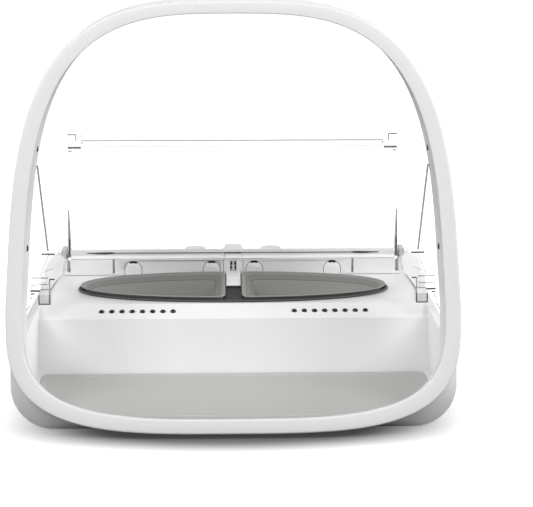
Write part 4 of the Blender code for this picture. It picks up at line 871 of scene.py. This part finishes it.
trough.data.set_sharp_from_angle(angle=math.radians(20))
gap_dark = moulded("gap_shadow", (0.03, 0.03, 0.031), 0.8)
fixed_to(trough, "base", "white_plastic", shell_white, "hinge_housing")


def in_gap(centre, normal):
    """Whether a face is inside one of the gaps in the housing's front wall"""
    deep = centre.y - housing_front
    return 0.0002 < deep < 0.0018 and abs(centre.x) < 0.097 and arch_foot < centre.z < housing_top - 0.0004


edge_faces(trough, gap_dark, in_gap)

# Lid sensor window: a pale acrylic light pipe, notched twice on each side, in the slot at the
# middle of the housing, with a black holder behind it.
tab_low, tab_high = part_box("centre_tab")
tab_z = tab_low.z
tab_rise = tab_high.z - tab_low.z
tab_half = 0.00155
pale_acrylic = moulded("pale_acrylic", (0.62, 0.61, 0.66), 0.18, 700.0, 0.000003, 0.05)
tab_side = [(0.74, 0.0), (0.74, 0.30), (0.38, 0.34), (0.38, 0.52), (0.80, 0.56), (0.80, 0.62),
            (0.30, 0.66), (0.30, 0.86), (0.62, 0.90), (0.62, 1.0)]
tab_outline = mirrored([(share * tab_half, tab_z + up * tab_rise) for share, up in tab_side])
tab = skinned("light_pipe", tall(tab_outline, tab_low.y + 0.0002, tab_high.y))
fixed_to(tab, "base", "clear_plastic", pale_acrylic, "centre_tab")
black_plastic = moulded("black_nylon", (0.018, 0.018, 0.019), 0.5)
holder_half = 0.0032
holder = slab_between("light_pipe_holder", -holder_half, holder_half, tab_high.y + 0.0001,
                      tab_high.y + 0.0008, housing_low + 0.0003, housing_top - 0.0003)
fixed_to(holder, "base", "black_plastic", black_plastic)

# Lid: clear polycarbonate, injection moulded. A flat panel stands between two cheeks that turn
# on the hinge shaft. Clear faces nearly vanish and light leaves at the narrow edges. That light is
# painted on them as dark, grey and pale finishes.
def clear_finish(name, colour, roughness, transmission=1.0, alpha=1.0):
    """Clear plastic with faint handling marks"""
    return moulded(name, colour, roughness, 60.0, 0.000001, 0.03,
                   {"IOR": 1.49, "Transmission Weight": transmission, "Alpha": alpha})


clear = clear_finish("clear_polycarbonate", (1.0, 1.0, 1.0), 0.02)
panel_clear = clear_finish("clear_lid_panel", (1.0, 1.0, 1.0), 0.04, 0.0, 0.06)
# Painted edge light: these dark, grey and pale see-through finishes stand for the light that clear plastic
# bends and reflects at its edges. They are put on narrow faces and thin strips.
painted_dark_clear = clear_finish("clear_edge_dark", (0.035, 0.036, 0.038), 0.3, 0.0, 0.80)
painted_grey_clear = clear_finish("clear_edge_grey", (0.16, 0.163, 0.168), 0.3, 0.0, 0.62)
painted_pale_clear = clear_finish("clear_edge_pale", (0.45, 0.455, 0.46), 0.3, 0.0, 0.35)
shaft_low, shaft_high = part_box("hinge_shaft")
hinge_y = (shaft_low.y + shaft_high.y) / 2
hinge_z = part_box("hinge_block_left")[0].z + 0.0013
lid_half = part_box("lid_panel")[1].x
lid_turn = math.radians(-102)
lid_reach = 0.0705
lid_heel = 0.0095
lid_drop = 0.007
lid_sheet = 0.002


def opened(x, along, up):
    """A place on the open lid: along it from the hinge's axis, and up from it when closed"""
    return (x, hinge_y - along * math.cos(lid_turn) - up * math.sin(lid_turn),
            hinge_z - along * math.sin(lid_turn) + up * math.cos(lid_turn))


def lid_slab(name, x0, x1, outline_points):
    """A piece of the lid between two planes, from an outline along it and up"""
    return skinned(name, [[opened(x, along, up) for along, up in outline_points] for x in (x0, x1)])


panel_round = 0.0004
sheet_top = lid_sheet - lid_drop
panel_outline = [(lid_heel, -lid_drop), (lid_reach - panel_round, -lid_drop),
                 (lid_reach, panel_round - lid_drop), (lid_reach, sheet_top - panel_round),
                 (lid_reach - panel_round, sheet_top), (lid_heel, sheet_top)]
panel = lid_slab("lid_sheet", -lid_half, lid_half, panel_outline)
fixed_to(panel, "lid", "clear_plastic", panel_clear, "lid_panel")
cheek_wide = 0.0012
eye_radius = 0.0038
cheek_reach = 0.027
thin_start = 0.010
thin_run = 0.017
thinned = 0.0005
eye = []
for step in range(25):
    a = math.radians(-115 + 225 * step / 24)
    eye.append((-eye_radius * math.cos(a), eye_radius * math.sin(a)))
cheek_tip = sheet_top + 0.0006
cheek_root = sheet_top + 0.0001
eye_x, eye_z = eye[-1]
for share in (0.25, 0.5, 0.75):
    eye.append((eye_x + (cheek_reach - eye_x) * share, eye_z + (cheek_tip - eye_z) * share))
cheek_outline = eye + [(cheek_reach, cheek_tip), (cheek_reach, cheek_root), (lid_heel, cheek_root)]
dark_top = hinge_z + 0.018


def on_dark_edge(centre, normal):
    """Whether a face is on the lower edge of a cheek, which is painted dark for the shade at the clear edge
    """
    return abs(normal.x) < 0.5 and hinge_z < centre.z < dark_top


for name, side in both_sides:
    cheek = lid_slab(f"lid_cheek_{name}", side * (lid_half - cheek_wide), side * lid_half, cheek_outline)
    for corner in cheek.data.vertices:
        thin = clamped((corner.co.z - hinge_z - thin_start) / thin_run)
        if abs(corner.co.x) < lid_half - 0.0001:
            corner.co.x += side * thin * thinned
    fixed_to(cheek, "lid", "clear_plastic", clear)
    # Painted edge shade: the cheek's narrow edge faces take the dark finish low down and the grey finish
    # higher up.
    edge_faces(cheek, painted_dark_clear, on_dark_edge)
    edge_faces(cheek, painted_grey_clear, lambda centre, normal: abs(normal.x) < 0.5 and centre.z >= dark_top)

# Lid's finger grip: a clear moulded rib across the free edge, welded to the panel. Its edges
# show as two fine lines, painted grey and pale for the light at the clear edges.
grip_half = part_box("lid_grip")[1].x
grip_far = lid_reach - 0.0019
grip_near = grip_far - 0.0035
grip_up = sheet_top + 0.0003
grip_over = grip_up + 0.0014
grip_outline = [(grip_near, grip_up), (grip_far, grip_up), (grip_far, grip_up + 0.0008),
                (grip_far - 0.0007, grip_over), (grip_near + 0.0006, grip_over),
                (grip_near, grip_up + 0.0010)]
grip = lid_slab("lid_rib", -grip_half, grip_half, grip_outline)
fixed_to(grip, "lid", "clear_plastic", panel_clear, "lid_grip")


def lid_strip(name, x0, x1, near, far, low, high):
    """A thin straight strip on the lid between two places along it"""
    return lid_slab(name, x0, x1, [(near, low), (far, low), (far, high), (near, high)])


for name, near, far, finish in (("far", 0.0683, 0.0690, painted_grey_clear), ("near", 0.0648, 0.0653, painted_pale_clear)):
    line = lid_strip(f"grip_edge_{name}", -grip_half, grip_half, near, far, grip_over, grip_up + 0.0018)
    fixed_to(line, "lid", "clear_plastic", finish)

# Lid's corner clips: two hooks of the same clear plastic that are pushed over the panel's free
# corners. Each has fine ribs on its face, painted dark for the shade at their clear edges.
clip_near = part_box("lid_clip_right")[0].x
clip_hook = lid_reach + 0.0003
clip_sheet = 0.0016
clip_over = sheet_top + 0.0003
clip_back = 0.0626
clip_top = clip_over + clip_sheet
clip_far = clip_hook + clip_sheet
clip_outline = [(clip_far, -lid_drop), (clip_hook, -lid_drop), (clip_hook, clip_over),
                (clip_back, clip_over), (clip_back, clip_top), (clip_far, clip_top)]
clip_ribs = ((0.0638, 0.0651, clip_near, lid_half), (0.0621, 0.0627, 0.0972, lid_half),
             (0.0719, 0.0725, 0.0945, lid_half), (0.0684, 0.0722, 0.0943, 0.0948),
             (0.0669, 0.0679, 0.0906, 0.0913))
for name, side in both_sides:
    clip = lid_slab(f"corner_clip_{name}", side * clip_near, side * lid_half, clip_outline)
    fixed_to(clip, "lid", "smoked_plastic", clear, f"lid_clip_{name}")
    for number, (near, far, inner, outer) in enumerate(clip_ribs, 1):
        rib = lid_strip(f"clip_rib_{name}_{number}", side * inner, side * outer, near, far,
                        clip_top - 0.0002, clip_top + 0.0003)
        fixed_to(rib, "lid", "smoked_plastic", painted_dark_clear)

# Hinge bars: clear channels that snap over the shaft along the top of the housing. The lower
# front edge is rounded and carries a painted highlight. The face is a painted pale grey for the light
# in the clear plastic, and painted shade runs along the face as a dark line and under the gear cap.
bar_front, bar_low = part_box("hinge_bar_left")[0].yz
bar_back, bar_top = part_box("hinge_bar_left")[1].yz
bar_near, bar_end = [corner.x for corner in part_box("hinge_bar_right")]
bar_wall = 0.0015
bar_lip = bar_front + 0.0024
# Painted light: the near-white lower edge is a painted highlight, and the pale grey face is painted for the
# light in the clear plastic.
bar_body = clear_finish("polycarbonate_painted_pale_face", (0.78, 0.78, 0.785), 0.3, 0.0, 1.0)
bar_painted_highlight = clear_finish("polycarbonate_painted_highlight", (0.95, 0.95, 0.95), 0.12, 0.0, 1.0)
bar_painted_shade_line = clear_finish("polycarbonate_painted_shade_line", (0.24, 0.245, 0.25), 0.3, 0.0, 1.0)
bar_clear = clear_finish("clear_polycarbonate_top", (0.9, 0.9, 0.9), 0.1, 0.0, 0.12)
bar_face = [(0.0001, 0.0), (0.0, 0.0001), (0.0002, 0.0004), (0.0011, 0.0014), (0.0012, 0.0017),
            (0.0012, 0.0030), (0.0015, 0.0032), (0.0015, 0.0034), (0.0013, 0.0036), (0.0014, 0.0044)]
bar_profile = [(bar_lip, bar_low)] + [(bar_front + back, bar_low + up) for back, up in bar_face]
bar_profile += [(bar_front + 0.0018, bar_top - 0.0001), (bar_lip, bar_top), (bar_back - 0.0005, bar_top),
                (bar_back, bar_top - 0.0005), (bar_back, bar_low), (bar_back - bar_wall, bar_low),
                (bar_back - bar_wall, bar_top - bar_wall), (bar_lip, bar_top - bar_wall)]
bright_top = bar_low + 0.0016
face_back = bar_front + 0.0022
roof_front = bar_front + 0.003


def bar_finishes(piece):
    """The painted highlight on the lower edge, the painted pale face and the clear roof and back of a hinge
    channel
    """
    fixed_to(piece, "base", "clear_plastic", bar_painted_highlight)
    edge_faces(piece, bar_body, lambda centre, normal: centre.y < face_back and centre.z > bright_top)
    edge_faces(piece, bar_clear, lambda centre, normal: centre.y > roof_front)
    return piece


for name, side in both_sides:
    channel = cross_piece(f"hinge_channel_{name}", side * bar_near, side * bar_end, bar_profile)
    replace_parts(bar_finishes(channel), f"hinge_bar_{name}")
middle_half = bar_near - 0.0003
bar_finishes(cross_piece("hinge_channel_middle", -middle_half, middle_half, bar_profile))
# Painted shade: dark and grey strips run along the channels' faces, darker over a stretch near each end. A
# dark strip under the gear cap is a painted shadow.
shade_line_z = bar_low + 0.0033
shade_line_front = bar_front + 0.0009
shade_line_back = bar_front + 0.0016
dark_part = ((0.0880, 0.0001, 0.0001), (0.0850, 0.0003, 0.0002), (0.0810, 0.0006, 0.0004),
             (0.0770, 0.0007, 0.0005), (0.0735, 0.0005, 0.0005), (0.0715, 0.0003, 0.0003))
pale_part = [(x, 0.0003, 0.0003) for x in (0.0715, 0.0690, 0.0400, bar_near)]
for name, side in both_sides:
    for shade_name, part, finish in (("dark", dark_part, painted_dark_clear), ("pale", pale_part, bar_painted_shade_line)):
        rows = [[(side * x, shade_line_front, shade_line_z - low_half), (side * x, shade_line_front, shade_line_z + high_half),
                 (side * x, shade_line_back, shade_line_z + high_half), (side * x, shade_line_back, shade_line_z - low_half)]
                for x, low_half, high_half in part]
        fixed_to(skinned(f"channel_painted_shade_{shade_name}_{name}", rows), "base", "clear_plastic", finish)
cap_shadow_strip = slab_between("cap_painted_shadow", -middle_half, middle_half, shade_line_front, shade_line_back,
                         shade_line_z - 0.0004, shade_line_z + 0.0005)
fixed_to(cap_shadow_strip, "base", "clear_plastic", painted_dark_clear)

# Gear cover: a small arched cap of white ABS with rounded corners, hollow inside. It is snapped
# over the lid's gear at the middle of the hinge.
cover_low = bar_low + 0.0037
cover_front, cover_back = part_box("gear_cover")
cover_half = cover_back.x
cover_reach = (cover_back.y - cover_front.y) / 2 - 0.0016
cover_top = cover_back.z - 0.0011
cover_power = 0.75


def cover_arch(name, half, inset, low):
    """The gear cover's arched form, drawn in by its wall for the room inside"""
    angles = [math.pi * step / 16 for step in range(17)]
    arch = [(hinge_y - (cover_reach - inset) * squared(math.cos(a), cover_power),
             low + (cover_top - inset - low) * squared(math.sin(a), cover_power)) for a in angles]
    return cross_piece(name, -half, half, arch)


cap = cover_arch("gear_cap", cover_half, 0.0, cover_low)
carved(cap, cover_arch("cap_room", cover_half - 0.0008, 0.0005, cover_low - 0.001))
fixed_to(softened(cap, 0.0006, 3, 40, 60), "base", "white_plastic", shell_white, "gear_cover")

# Bearing blocks: two warm grey acetal blocks with rounded edges. They hold the ends of the shaft
# on the housing.
block_grey = moulded("bearing_grey", (0.56, 0.555, 0.55), 0.4)
for name in ("left", "right"):
    edged_node(f"bearing_{name}", f"hinge_block_{name}", 0.0004, "warm_grey_plastic", block_grey)

# Side shields: clear polycarbonate sheets with polished faces, one behind each side of the hoop.
# They keep a neighbour's nose out. A round bead stiffens the sloping rear edge. Its grey is painted, for
# the light that the clear edge bends.
sheet_clear = clear_finish("clear_sheet", (1.0, 1.0, 1.0), 0.05, 0.0, 0.04)


def rod_between(name, start, end, thick):
    """A thin square rod between two places, drawn across the feeder's front"""
    way = (Vector(end) - Vector(start)).normalized()
    across = way.cross(Vector((0.0, 1.0, 0.0))).normalized() * thick / 2
    deep = Vector((0.0, thick / 2, 0.0))
    corners = (across + deep, deep - across, -across - deep, across - deep)
    return skinned(name, [[Vector(place) + corner for corner in corners] for place in (start, end)])


for name in ("left", "right"):
    edged_node(f"shield_{name}", f"side_shield_{name}", 0.00015, "clear_plastic", sheet_clear)
    shield_low, shield_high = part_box(f"side_shield_{name}")
    shield_x = (shield_low.x + shield_high.x) / 2
    bead = rod_between(f"shield_bead_{name}", (shield_x, shield_low.y + 0.0063, shield_high.z),
                       (shield_x, shield_high.y, shield_high.z - 0.053), 0.0009)
    fixed_to(bead, "base", "clear_plastic", painted_grey_clear)

# Shield brackets: clear moulded frames on the deck's shoulders, each with a hook for the sheet's
# edge, a catch box and a rail along the deck. Their thin ribs and the rail are painted grey and
# dark for the light at the clear edges. The web is painted near-white for the white room seen
# through it.
frosted = clear_finish("bracket_polycarbonate", (0.60, 0.60, 0.60), 0.1, 0.0, 0.40)
# Painted light: the web is near-white, for the bright room seen through the clear bracket.
web_painted_pale = clear_finish("web_polycarbonate", (0.97, 0.97, 0.97), 0.2, 0.0, 0.60)
bracket_y = sum(corner.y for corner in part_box("shield_bracket_left")) / 2
bracket_ribs = (("hook", 0.1047, 0.0790, 0.0974, 0.0790, 0.0008, painted_dark_clear),
                ("arm", 0.1009, 0.0785, 0.1058, 0.0666, 0.0004, painted_grey_clear),
                ("brace", 0.1035, 0.0689, 0.0984, 0.0710, 0.0004, painted_pale_clear),
                ("top", 0.1108, 0.0657, 0.1016, 0.0656, 0.0005, painted_grey_clear),
                ("notch", 0.1006, 0.0648, 0.0980, 0.0648, 0.0006, painted_dark_clear),
                ("post", 0.1008, 0.0648, 0.1008, 0.0586, 0.0005, painted_grey_clear),
                ("curve", 0.1113, 0.0603, 0.1102, 0.0616, 0.0004, painted_grey_clear),
                ("shelf", 0.1102, 0.0616, 0.1020, 0.0620, 0.0004, painted_grey_clear),
                ("latch", 0.1114, 0.0584, 0.1061, 0.0583, 0.0009, painted_dark_clear),
                ("foot", 0.1112, 0.0567, 0.1092, 0.0566, 0.0007, painted_dark_clear),
                ("bar", 0.1061, 0.0590, 0.1013, 0.0590, 0.0005, painted_grey_clear),
                ("strut", 0.1104, 0.0552, 0.1117, 0.0535, 0.0005, painted_grey_clear),
                ("toe", 0.1118, 0.0504, 0.1143, 0.0464, 0.0005, painted_grey_clear),
                ("tip", 0.0958, 0.0796, 0.0939, 0.0819, 0.0004, painted_grey_clear),
                ("box_side", 0.1069, 0.0560, 0.1069, 0.0508, 0.0006, painted_dark_clear),
                ("box_foot", 0.1071, 0.0508, 0.1007, 0.0508, 0.0006, painted_dark_clear),
                ("box_end", 0.1009, 0.0560, 0.1009, 0.0508, 0.0005, painted_dark_clear))
web_points = ((0.1062, 0.0647), (0.1047, 0.0685), (0.1022, 0.0751), (0.0960, 0.0753), (0.0936, 0.0738),
              (0.0940, 0.0692), (0.0948, 0.0660), (0.0982, 0.0621), (0.1007, 0.0588), (0.1062, 0.0596))
rail_half = 0.0003
rail_low = deck_top + 0.0001
rail_high = deck_top + 0.0006
for name, side in both_sides:
    edged_node(f"bracket_{name}", f"shield_bracket_{name}", 0.0003, "clear_plastic", sheet_clear)
    for label, x0, z0, x1, z1, thick, finish in bracket_ribs:
        rib = rod_between(f"bracket_{label}_{name}", (side * x0, bracket_y, z0),
                          (side * x1, bracket_y, z1), thick)
        fixed_to(rib, "base", "clear_plastic", finish)
    window = slab_between(f"bracket_window_{name}", side * 0.1066, side * 0.1012, bracket_y - 0.0003,
                          bracket_y + 0.0003, 0.0511, 0.0558)
    fixed_to(window, "base", "clear_plastic", frosted)
    web_rows = [[(side * x, bracket_y + back + 0.8 * (z - 0.058), z) for x, z in web_points]
                for back in (0.0004, 0.0010)]
    fixed_to(skinned(f"bracket_web_{name}", web_rows), "base", "clear_plastic", web_painted_pale)
    rail_rows = [[(side * (x - rail_half), y, rail_low), (side * (x + rail_half), y, rail_low),
                  (side * (x + rail_half), y, rail_high), (side * (x - rail_half), y, rail_high)]
                 for x, y in ((0.1031, -0.0258), (0.1062, 0.0025), (0.1046, 0.0400))]
    fixed_to(skinned(f"bracket_rail_{name}", rail_rows), "base", "clear_plastic", painted_grey_clear)

# Beam sensors: four dark lenses of smoked acrylic, pressed into the hoop's inner walls. A pet's
# head breaks the beam between a pair, which keeps the lid open.
def turned(name, profile, centre, axis, steps=32):
    """A turned piece from radii and places along one axis"""
    rings = []
    for radius, along in profile:
        ring = []
        for step in range(steps):
            a = 2 * math.pi * step / steps
            spot = {"x": (along, radius * math.cos(a), radius * math.sin(a)),
                    "y": (radius * math.cos(a), along, radius * math.sin(a)),
                    "z": (radius * math.cos(a), radius * math.sin(a), along)}[axis]
            ring.append(Vector(centre) + Vector(spot))
        rings.append(ring)
    return skinned(name, rings)


def middle_of(node):
    """The middle of a CAD node's box"""
    low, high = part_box(node)
    return [(low[way] + high[way]) / 2 for way in range(3)]


lens_black = moulded("sensor_lens", (0.008, 0.008, 0.009), 0.12, 900.0, 0.000002, 0.05)
lens_form = ((0.0017, 0.0020), (0.0017, 0.0), (0.0015, -0.0003), (0.0008, -0.0005), (0.0003, -0.00055))
for height in ("high", "low"):
    for name, side in both_sides:
        node = f"sensor_{height}_{name}"
        x, y, z = middle_of(node)
        wall_x = side * min(abs(x) for x, up in inner_edge if abs(up - z) < 0.004 and x > 0)
        lens_profile = [(radius, side * along) for radius, along in lens_form]
        lens = turned(f"beam_lens_{height}_{name}", lens_profile, (wall_x, y + 0.001, z), "x")
        fixed_to(lens, "base", "smoked_plastic", lens_black, node)

# Light guides: two bars of smoked acrylic behind the strip. Each carries eight pips, which stand
# in the strip's holes, and clips to the back of the deck.
for name in ("left", "right"):
    edged_node(f"pip_bar_{name}", f"light_guide_{name}", 0.0001, "smoked_plastic", smoked)

# Circuit board: glass-fibre board with green solder resist, upright behind the bay's panel, with
# its chips, capacitors and sockets soldered to the back.
board_finish = moulded("solder_resist", (0.012, 0.10, 0.035), 0.3, 350.0, 0.00003, 0.1)
chip_black = moulded("chip_epoxy", (0.02, 0.02, 0.021), 0.55)
socket_white = moulded("socket_nylon", (0.70, 0.68, 0.62), 0.45)
bright_metal = moulded("tinned_metal", (0.62, 0.61, 0.60), 0.28, 500.0, 0.000006, 0.12, {"Metallic": 1.0})
edged_node("main_board", "circuit_board", 0.0002, "board_green", board_finish)
board_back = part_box("circuit_board")[1].y


def on_board(name, x, z, half_x, half_z, rise, start=0.0):
    """A block on the back of the board, round a place"""
    return slab_between(name, x - half_x, x + half_x, board_back + start, board_back + rise,
                        z - half_z, z + half_z)


chips = ((-0.030, 0.025, 0.0050, 0.0050, 0.0013), (-0.012, 0.027, 0.0025, 0.0020, 0.0012),
         (0.004, 0.022, 0.0040, 0.0030, 0.0012))
for number, (x, z, half_x, half_z, rise_y) in enumerate(chips, 1):
    chip = on_board(f"chip_{number}", x, z, half_x, half_z, rise_y)
    fixed_to(softened(chip, 0.00015), "base", "black_plastic", chip_black)
    for leg in range(7):
        leg_x = x + half_x * (leg / 3.5 - 6 / 7)
        pin = on_board(f"chip_{number}_leg_{leg + 1}", leg_x, z, 0.0002, half_z + 0.0009, 0.0005)
        fixed_to(pin, "base", "plated_steel", bright_metal)
can_profile = [(0.0021, 0.0001), (0.0025, 0.0004), (0.0025, 0.0030), (0.0022, 0.0034), (0.0004, 0.0033)]
for number, (x, z) in enumerate(((0.022, 0.029), (0.030, 0.029), (0.038, 0.020)), 1):
    can = turned(f"capacitor_{number}", can_profile, (x, board_back, z), "y", 24)
    fixed_to(can, "base", "black_plastic", chip_black)
for number, (x, z) in enumerate(((-0.054, 0.022), (-0.043, 0.031), (0.050, 0.018), (0.054, 0.030)), 1):
    socket = on_board(f"socket_{number}", x, z, 0.0042, 0.0022, 0.0034)
    carved(socket, on_board("socket_room", x, z, 0.0034, 0.0014, 0.004, 0.0008))
    fixed_to(softened(socket, 0.00015), "base", "white_plastic", socket_white)

# Weighing: a milled aluminium load cell under each bowl's place, pierced so that its middle can
# bend, carries a plated steel plate. Two screws hold the plate to one end of the cell.
brushed = moulded("milled_aluminium", (0.60, 0.61, 0.62), 0.34, 240.0, 0.00001, 0.18, {"Metallic": 1.0})
screw_profile = [(0.0020, 0.0), (0.0020, 0.0005), (0.0016, 0.0008), (0.0005, 0.0008), (0.0004, 0.0004)]
for name in ("left", "right"):
    low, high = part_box(f"load_cell_{name}")
    cell_x, cell_y, cell_z = middle_of(f"load_cell_{name}")
    cell = edged(f"weigh_bar_{name}", f"load_cell_{name}", 0.0003)
    bore_profile = [(0.0024, low.y - 0.001), (0.0024, high.y + 0.001)]
    for x in (cell_x - 0.0035, cell_x + 0.0035):
        carved(cell, turned("bar_bore", bore_profile, (x, 0.0, cell_z), "y", 24))
    fixed_to(cell, "base", "milled_aluminium", brushed, f"load_cell_{name}")
    edged_node(f"weigh_plate_{name}", f"scale_plate_{name}", 0.0004, "plated_steel", bright_metal)
    screw_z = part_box(f"scale_plate_{name}")[1].z - 0.0005
    for number, x in enumerate((cell_x - 0.016, cell_x - 0.011), 1):
        screw = turned(f"weigh_screw_{name}_{number}", screw_profile, (x, cell_y, screw_z), "z", 24)
        fixed_to(screw, "base", "plated_steel", bright_metal)

# Lid drive: a small gear motor in the housing turns a brass pinion, which turns the gear on the
# lid's ground steel shaft. The motor lies on a pressed steel bracket.
brass = moulded("cut_brass", (0.60, 0.41, 0.13), 0.3, 260.0, 0.000008, 0.15, {"Metallic": 1.0})
shaft_radius = (shaft_high.z - shaft_low.z) / 2
shaft_profile = [(shaft_radius - 0.0004, shaft_low.x), (shaft_radius, shaft_low.x + 0.0004)]
shaft_profile += [(radius, -along) for radius, along in reversed(shaft_profile)]
rod = turned("lid_shaft", shaft_profile, (0.0, hinge_y, (shaft_low.z + shaft_high.z) / 2), "x", 24)
fixed_to(rod, "lid", "plated_steel", bright_metal, "hinge_shaft")
edged_node("shaft_gear", "lid_gear", 0.0001, "cut_brass", brass, "lid")
edged_node("motor_pinion", "drive_pinion", 0.0001, "cut_brass", brass, "drive")
motor_low, motor_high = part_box("drive_motor")
motor_y = middle_of("drive_motor")[1]
motor_z = middle_of("drive_pinion")[2] - 0.0004
motor_radius = (motor_high.y - motor_low.y) / 2
motor_long = motor_high.x - motor_low.x


def scaled(form, radius, start, run):
    """A turned profile from shares of its radius and of its length"""
    return [(radius * share, start + run * along) for share, along in form]


motor_form = ((0.35, 0.14), (0.36, 0.17), (0.96, 0.17), (1.0, 0.19), (1.0, 0.44), (0.95, 0.45),
              (0.95, 0.48), (1.0, 0.49), (1.0, 0.93), (0.92, 0.97), (0.40, 0.97), (0.38, 1.0), (0.10, 1.0))
motor_profile = scaled(motor_form, motor_radius, motor_low.x, motor_long)
motor = turned("gear_motor", motor_profile, (0.0, motor_y, motor_z), "x", 40)
fixed_to(motor, "base", "black_plastic", black_plastic, "drive_motor")
edge_faces(motor, bright_metal, lambda centre, normal: centre.x > motor_low.x + motor_long * 0.5)
edged_node("motor_cradle", "motor_bracket", 0.0003, "plated_steel", bright_metal)

# Battery bays: a black tray with rounded edges holds two C cells on each side, above a door. The
# two cells of a tray point opposite ways, and a plated plate joins them at one end.
sleeve = moulded("cell_sleeve", (0.05, 0.052, 0.056), 0.28, 900.0, 0.000004, 0.1)
sleeve_band = moulded("cell_band", (0.45, 0.30, 0.10), 0.25, 900.0, 0.000004, 0.1, {"Metallic": 0.7})
cell_form = ((0.30, 0.003), (0.62, 0.004), (0.64, 0.012), (0.90, 0.014), (0.955, 0.006), (1.0, 0.022),
             (1.0, 0.14), (1.0, 0.142), (1.0, 0.93), (0.955, 0.945), (0.90, 0.935), (0.40, 0.94),
             (0.23, 0.945), (0.22, 0.985), (0.18, 0.997), (0.05, 1.0))
for name, cells in (("left", (1, 2)), ("right", (3, 4))):
    edged_node(f"cell_tray_{name}", f"battery_box_{name}", 0.0005, "black_plastic", black_plastic)
    edged_node(f"contact_plate_{name}", f"battery_contact_{name}", 0.0001, "plated_steel", bright_metal)
    for number in cells:
        low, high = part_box(f"battery_{number}")
        y, z = middle_of(f"battery_{number}")[1:]
        start = low.x if number % 2 else high.x
        run = (high.x - low.x) if number % 2 else (low.x - high.x)
        cell_profile = scaled(cell_form, (high.y - low.y) / 2, start, run)
        cell = turned(f"c_cell_{number}", cell_profile, (0.0, y, z), "x", 48)
        fixed_to(cell, "base", "cell_sleeve", sleeve, f"battery_{number}")
        edge_faces(cell, bright_metal, lambda centre, normal: not 0.018 < (centre.x - start) / run < 0.94)
        edge_faces(cell, sleeve_band, lambda centre, normal: 0.018 < (centre.x - start) / run < 0.141)

# Battery doors: two white ABS covers that slide back out of the underside. Ribs across the outer
# face give a finger its grip, and the edges are rounded.
for name in ("left", "right"):
    low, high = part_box(f"battery_door_{name}")
    edged_node(f"bay_cover_{name}", f"battery_door_{name}", 0.0004, "white_plastic", shell_white,
               f"door_{name}")
    middle_x = middle_of(f"battery_door_{name}")[0]
    for number in range(5):
        y = high.y - 0.008 - 0.0024 * number
        half = 0.010 - 0.0012 * abs(number - 2)
        ridge = slab_between(f"cover_ridge_{name}_{number + 1}", middle_x - half, middle_x + half,
                             y - 0.0006, y + 0.0006, low.z - 0.0004, low.z + 0.0002)
        fixed_to(softened(ridge, 0.0002), f"door_{name}", "white_plastic", shell_white)

# Push buttons: three soft grey caps on the rear deck. Each top is slightly dished for a finger
# and its rim is rounded.
button_grey = moulded("button_grey", (0.76, 0.757, 0.75), 0.55, 1800.0, 0.00003, 0.1)
button_form = ((0.90, 0.0), (1.0, 0.04), (1.0, 0.22), (0.90, 0.26), (0.90, 0.84), (0.885, 0.93),
               (0.84, 0.985), (0.78, 1.0), (0.70, 0.985), (0.55, 0.955), (0.30, 0.94), (0.05, 0.935))


def upright(name, node, form):
    """A round piece turned about an upright axis, as wide and tall as its CAD node"""
    low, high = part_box(node)
    x, y = middle_of(node)[:2]
    return turned(name, scaled(form, (high.x - low.x) / 2, low.z, high.z - low.z), (x, y, 0.0), "z", 48)


for number in (1, 2, 3):
    cap = upright(f"finger_cap_{number}", f"button_{number}", button_form)
    fixed_to(cap, f"push_button_{number}", "warm_grey_plastic", button_grey, f"button_{number}")

# Feet: four soft rubber discs, pressed into rings under the base. Each tread has a rounded edge
# and a shallow cup that grips the floor.
foot_black = moulded("foot_rubber", (0.035, 0.035, 0.034), 0.78, 1400.0, 0.00005, 0.12)
foot_form = ((0.10, 0.28), (0.52, 0.26), (0.66, 0.10), (0.72, 0.0), (0.84, 0.0), (0.93, 0.12),
             (0.97, 0.30), (1.0, 0.55), (1.0, 1.0), (0.92, 1.0))
for place in ("front_left", "front_right", "rear_left", "rear_right"):
    foot = upright(f"floor_pad_{place}", f"foot_{place}", foot_form)
    fixed_to(foot, "base", "foot_rubber", foot_black, f"foot_{place}")

low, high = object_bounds()
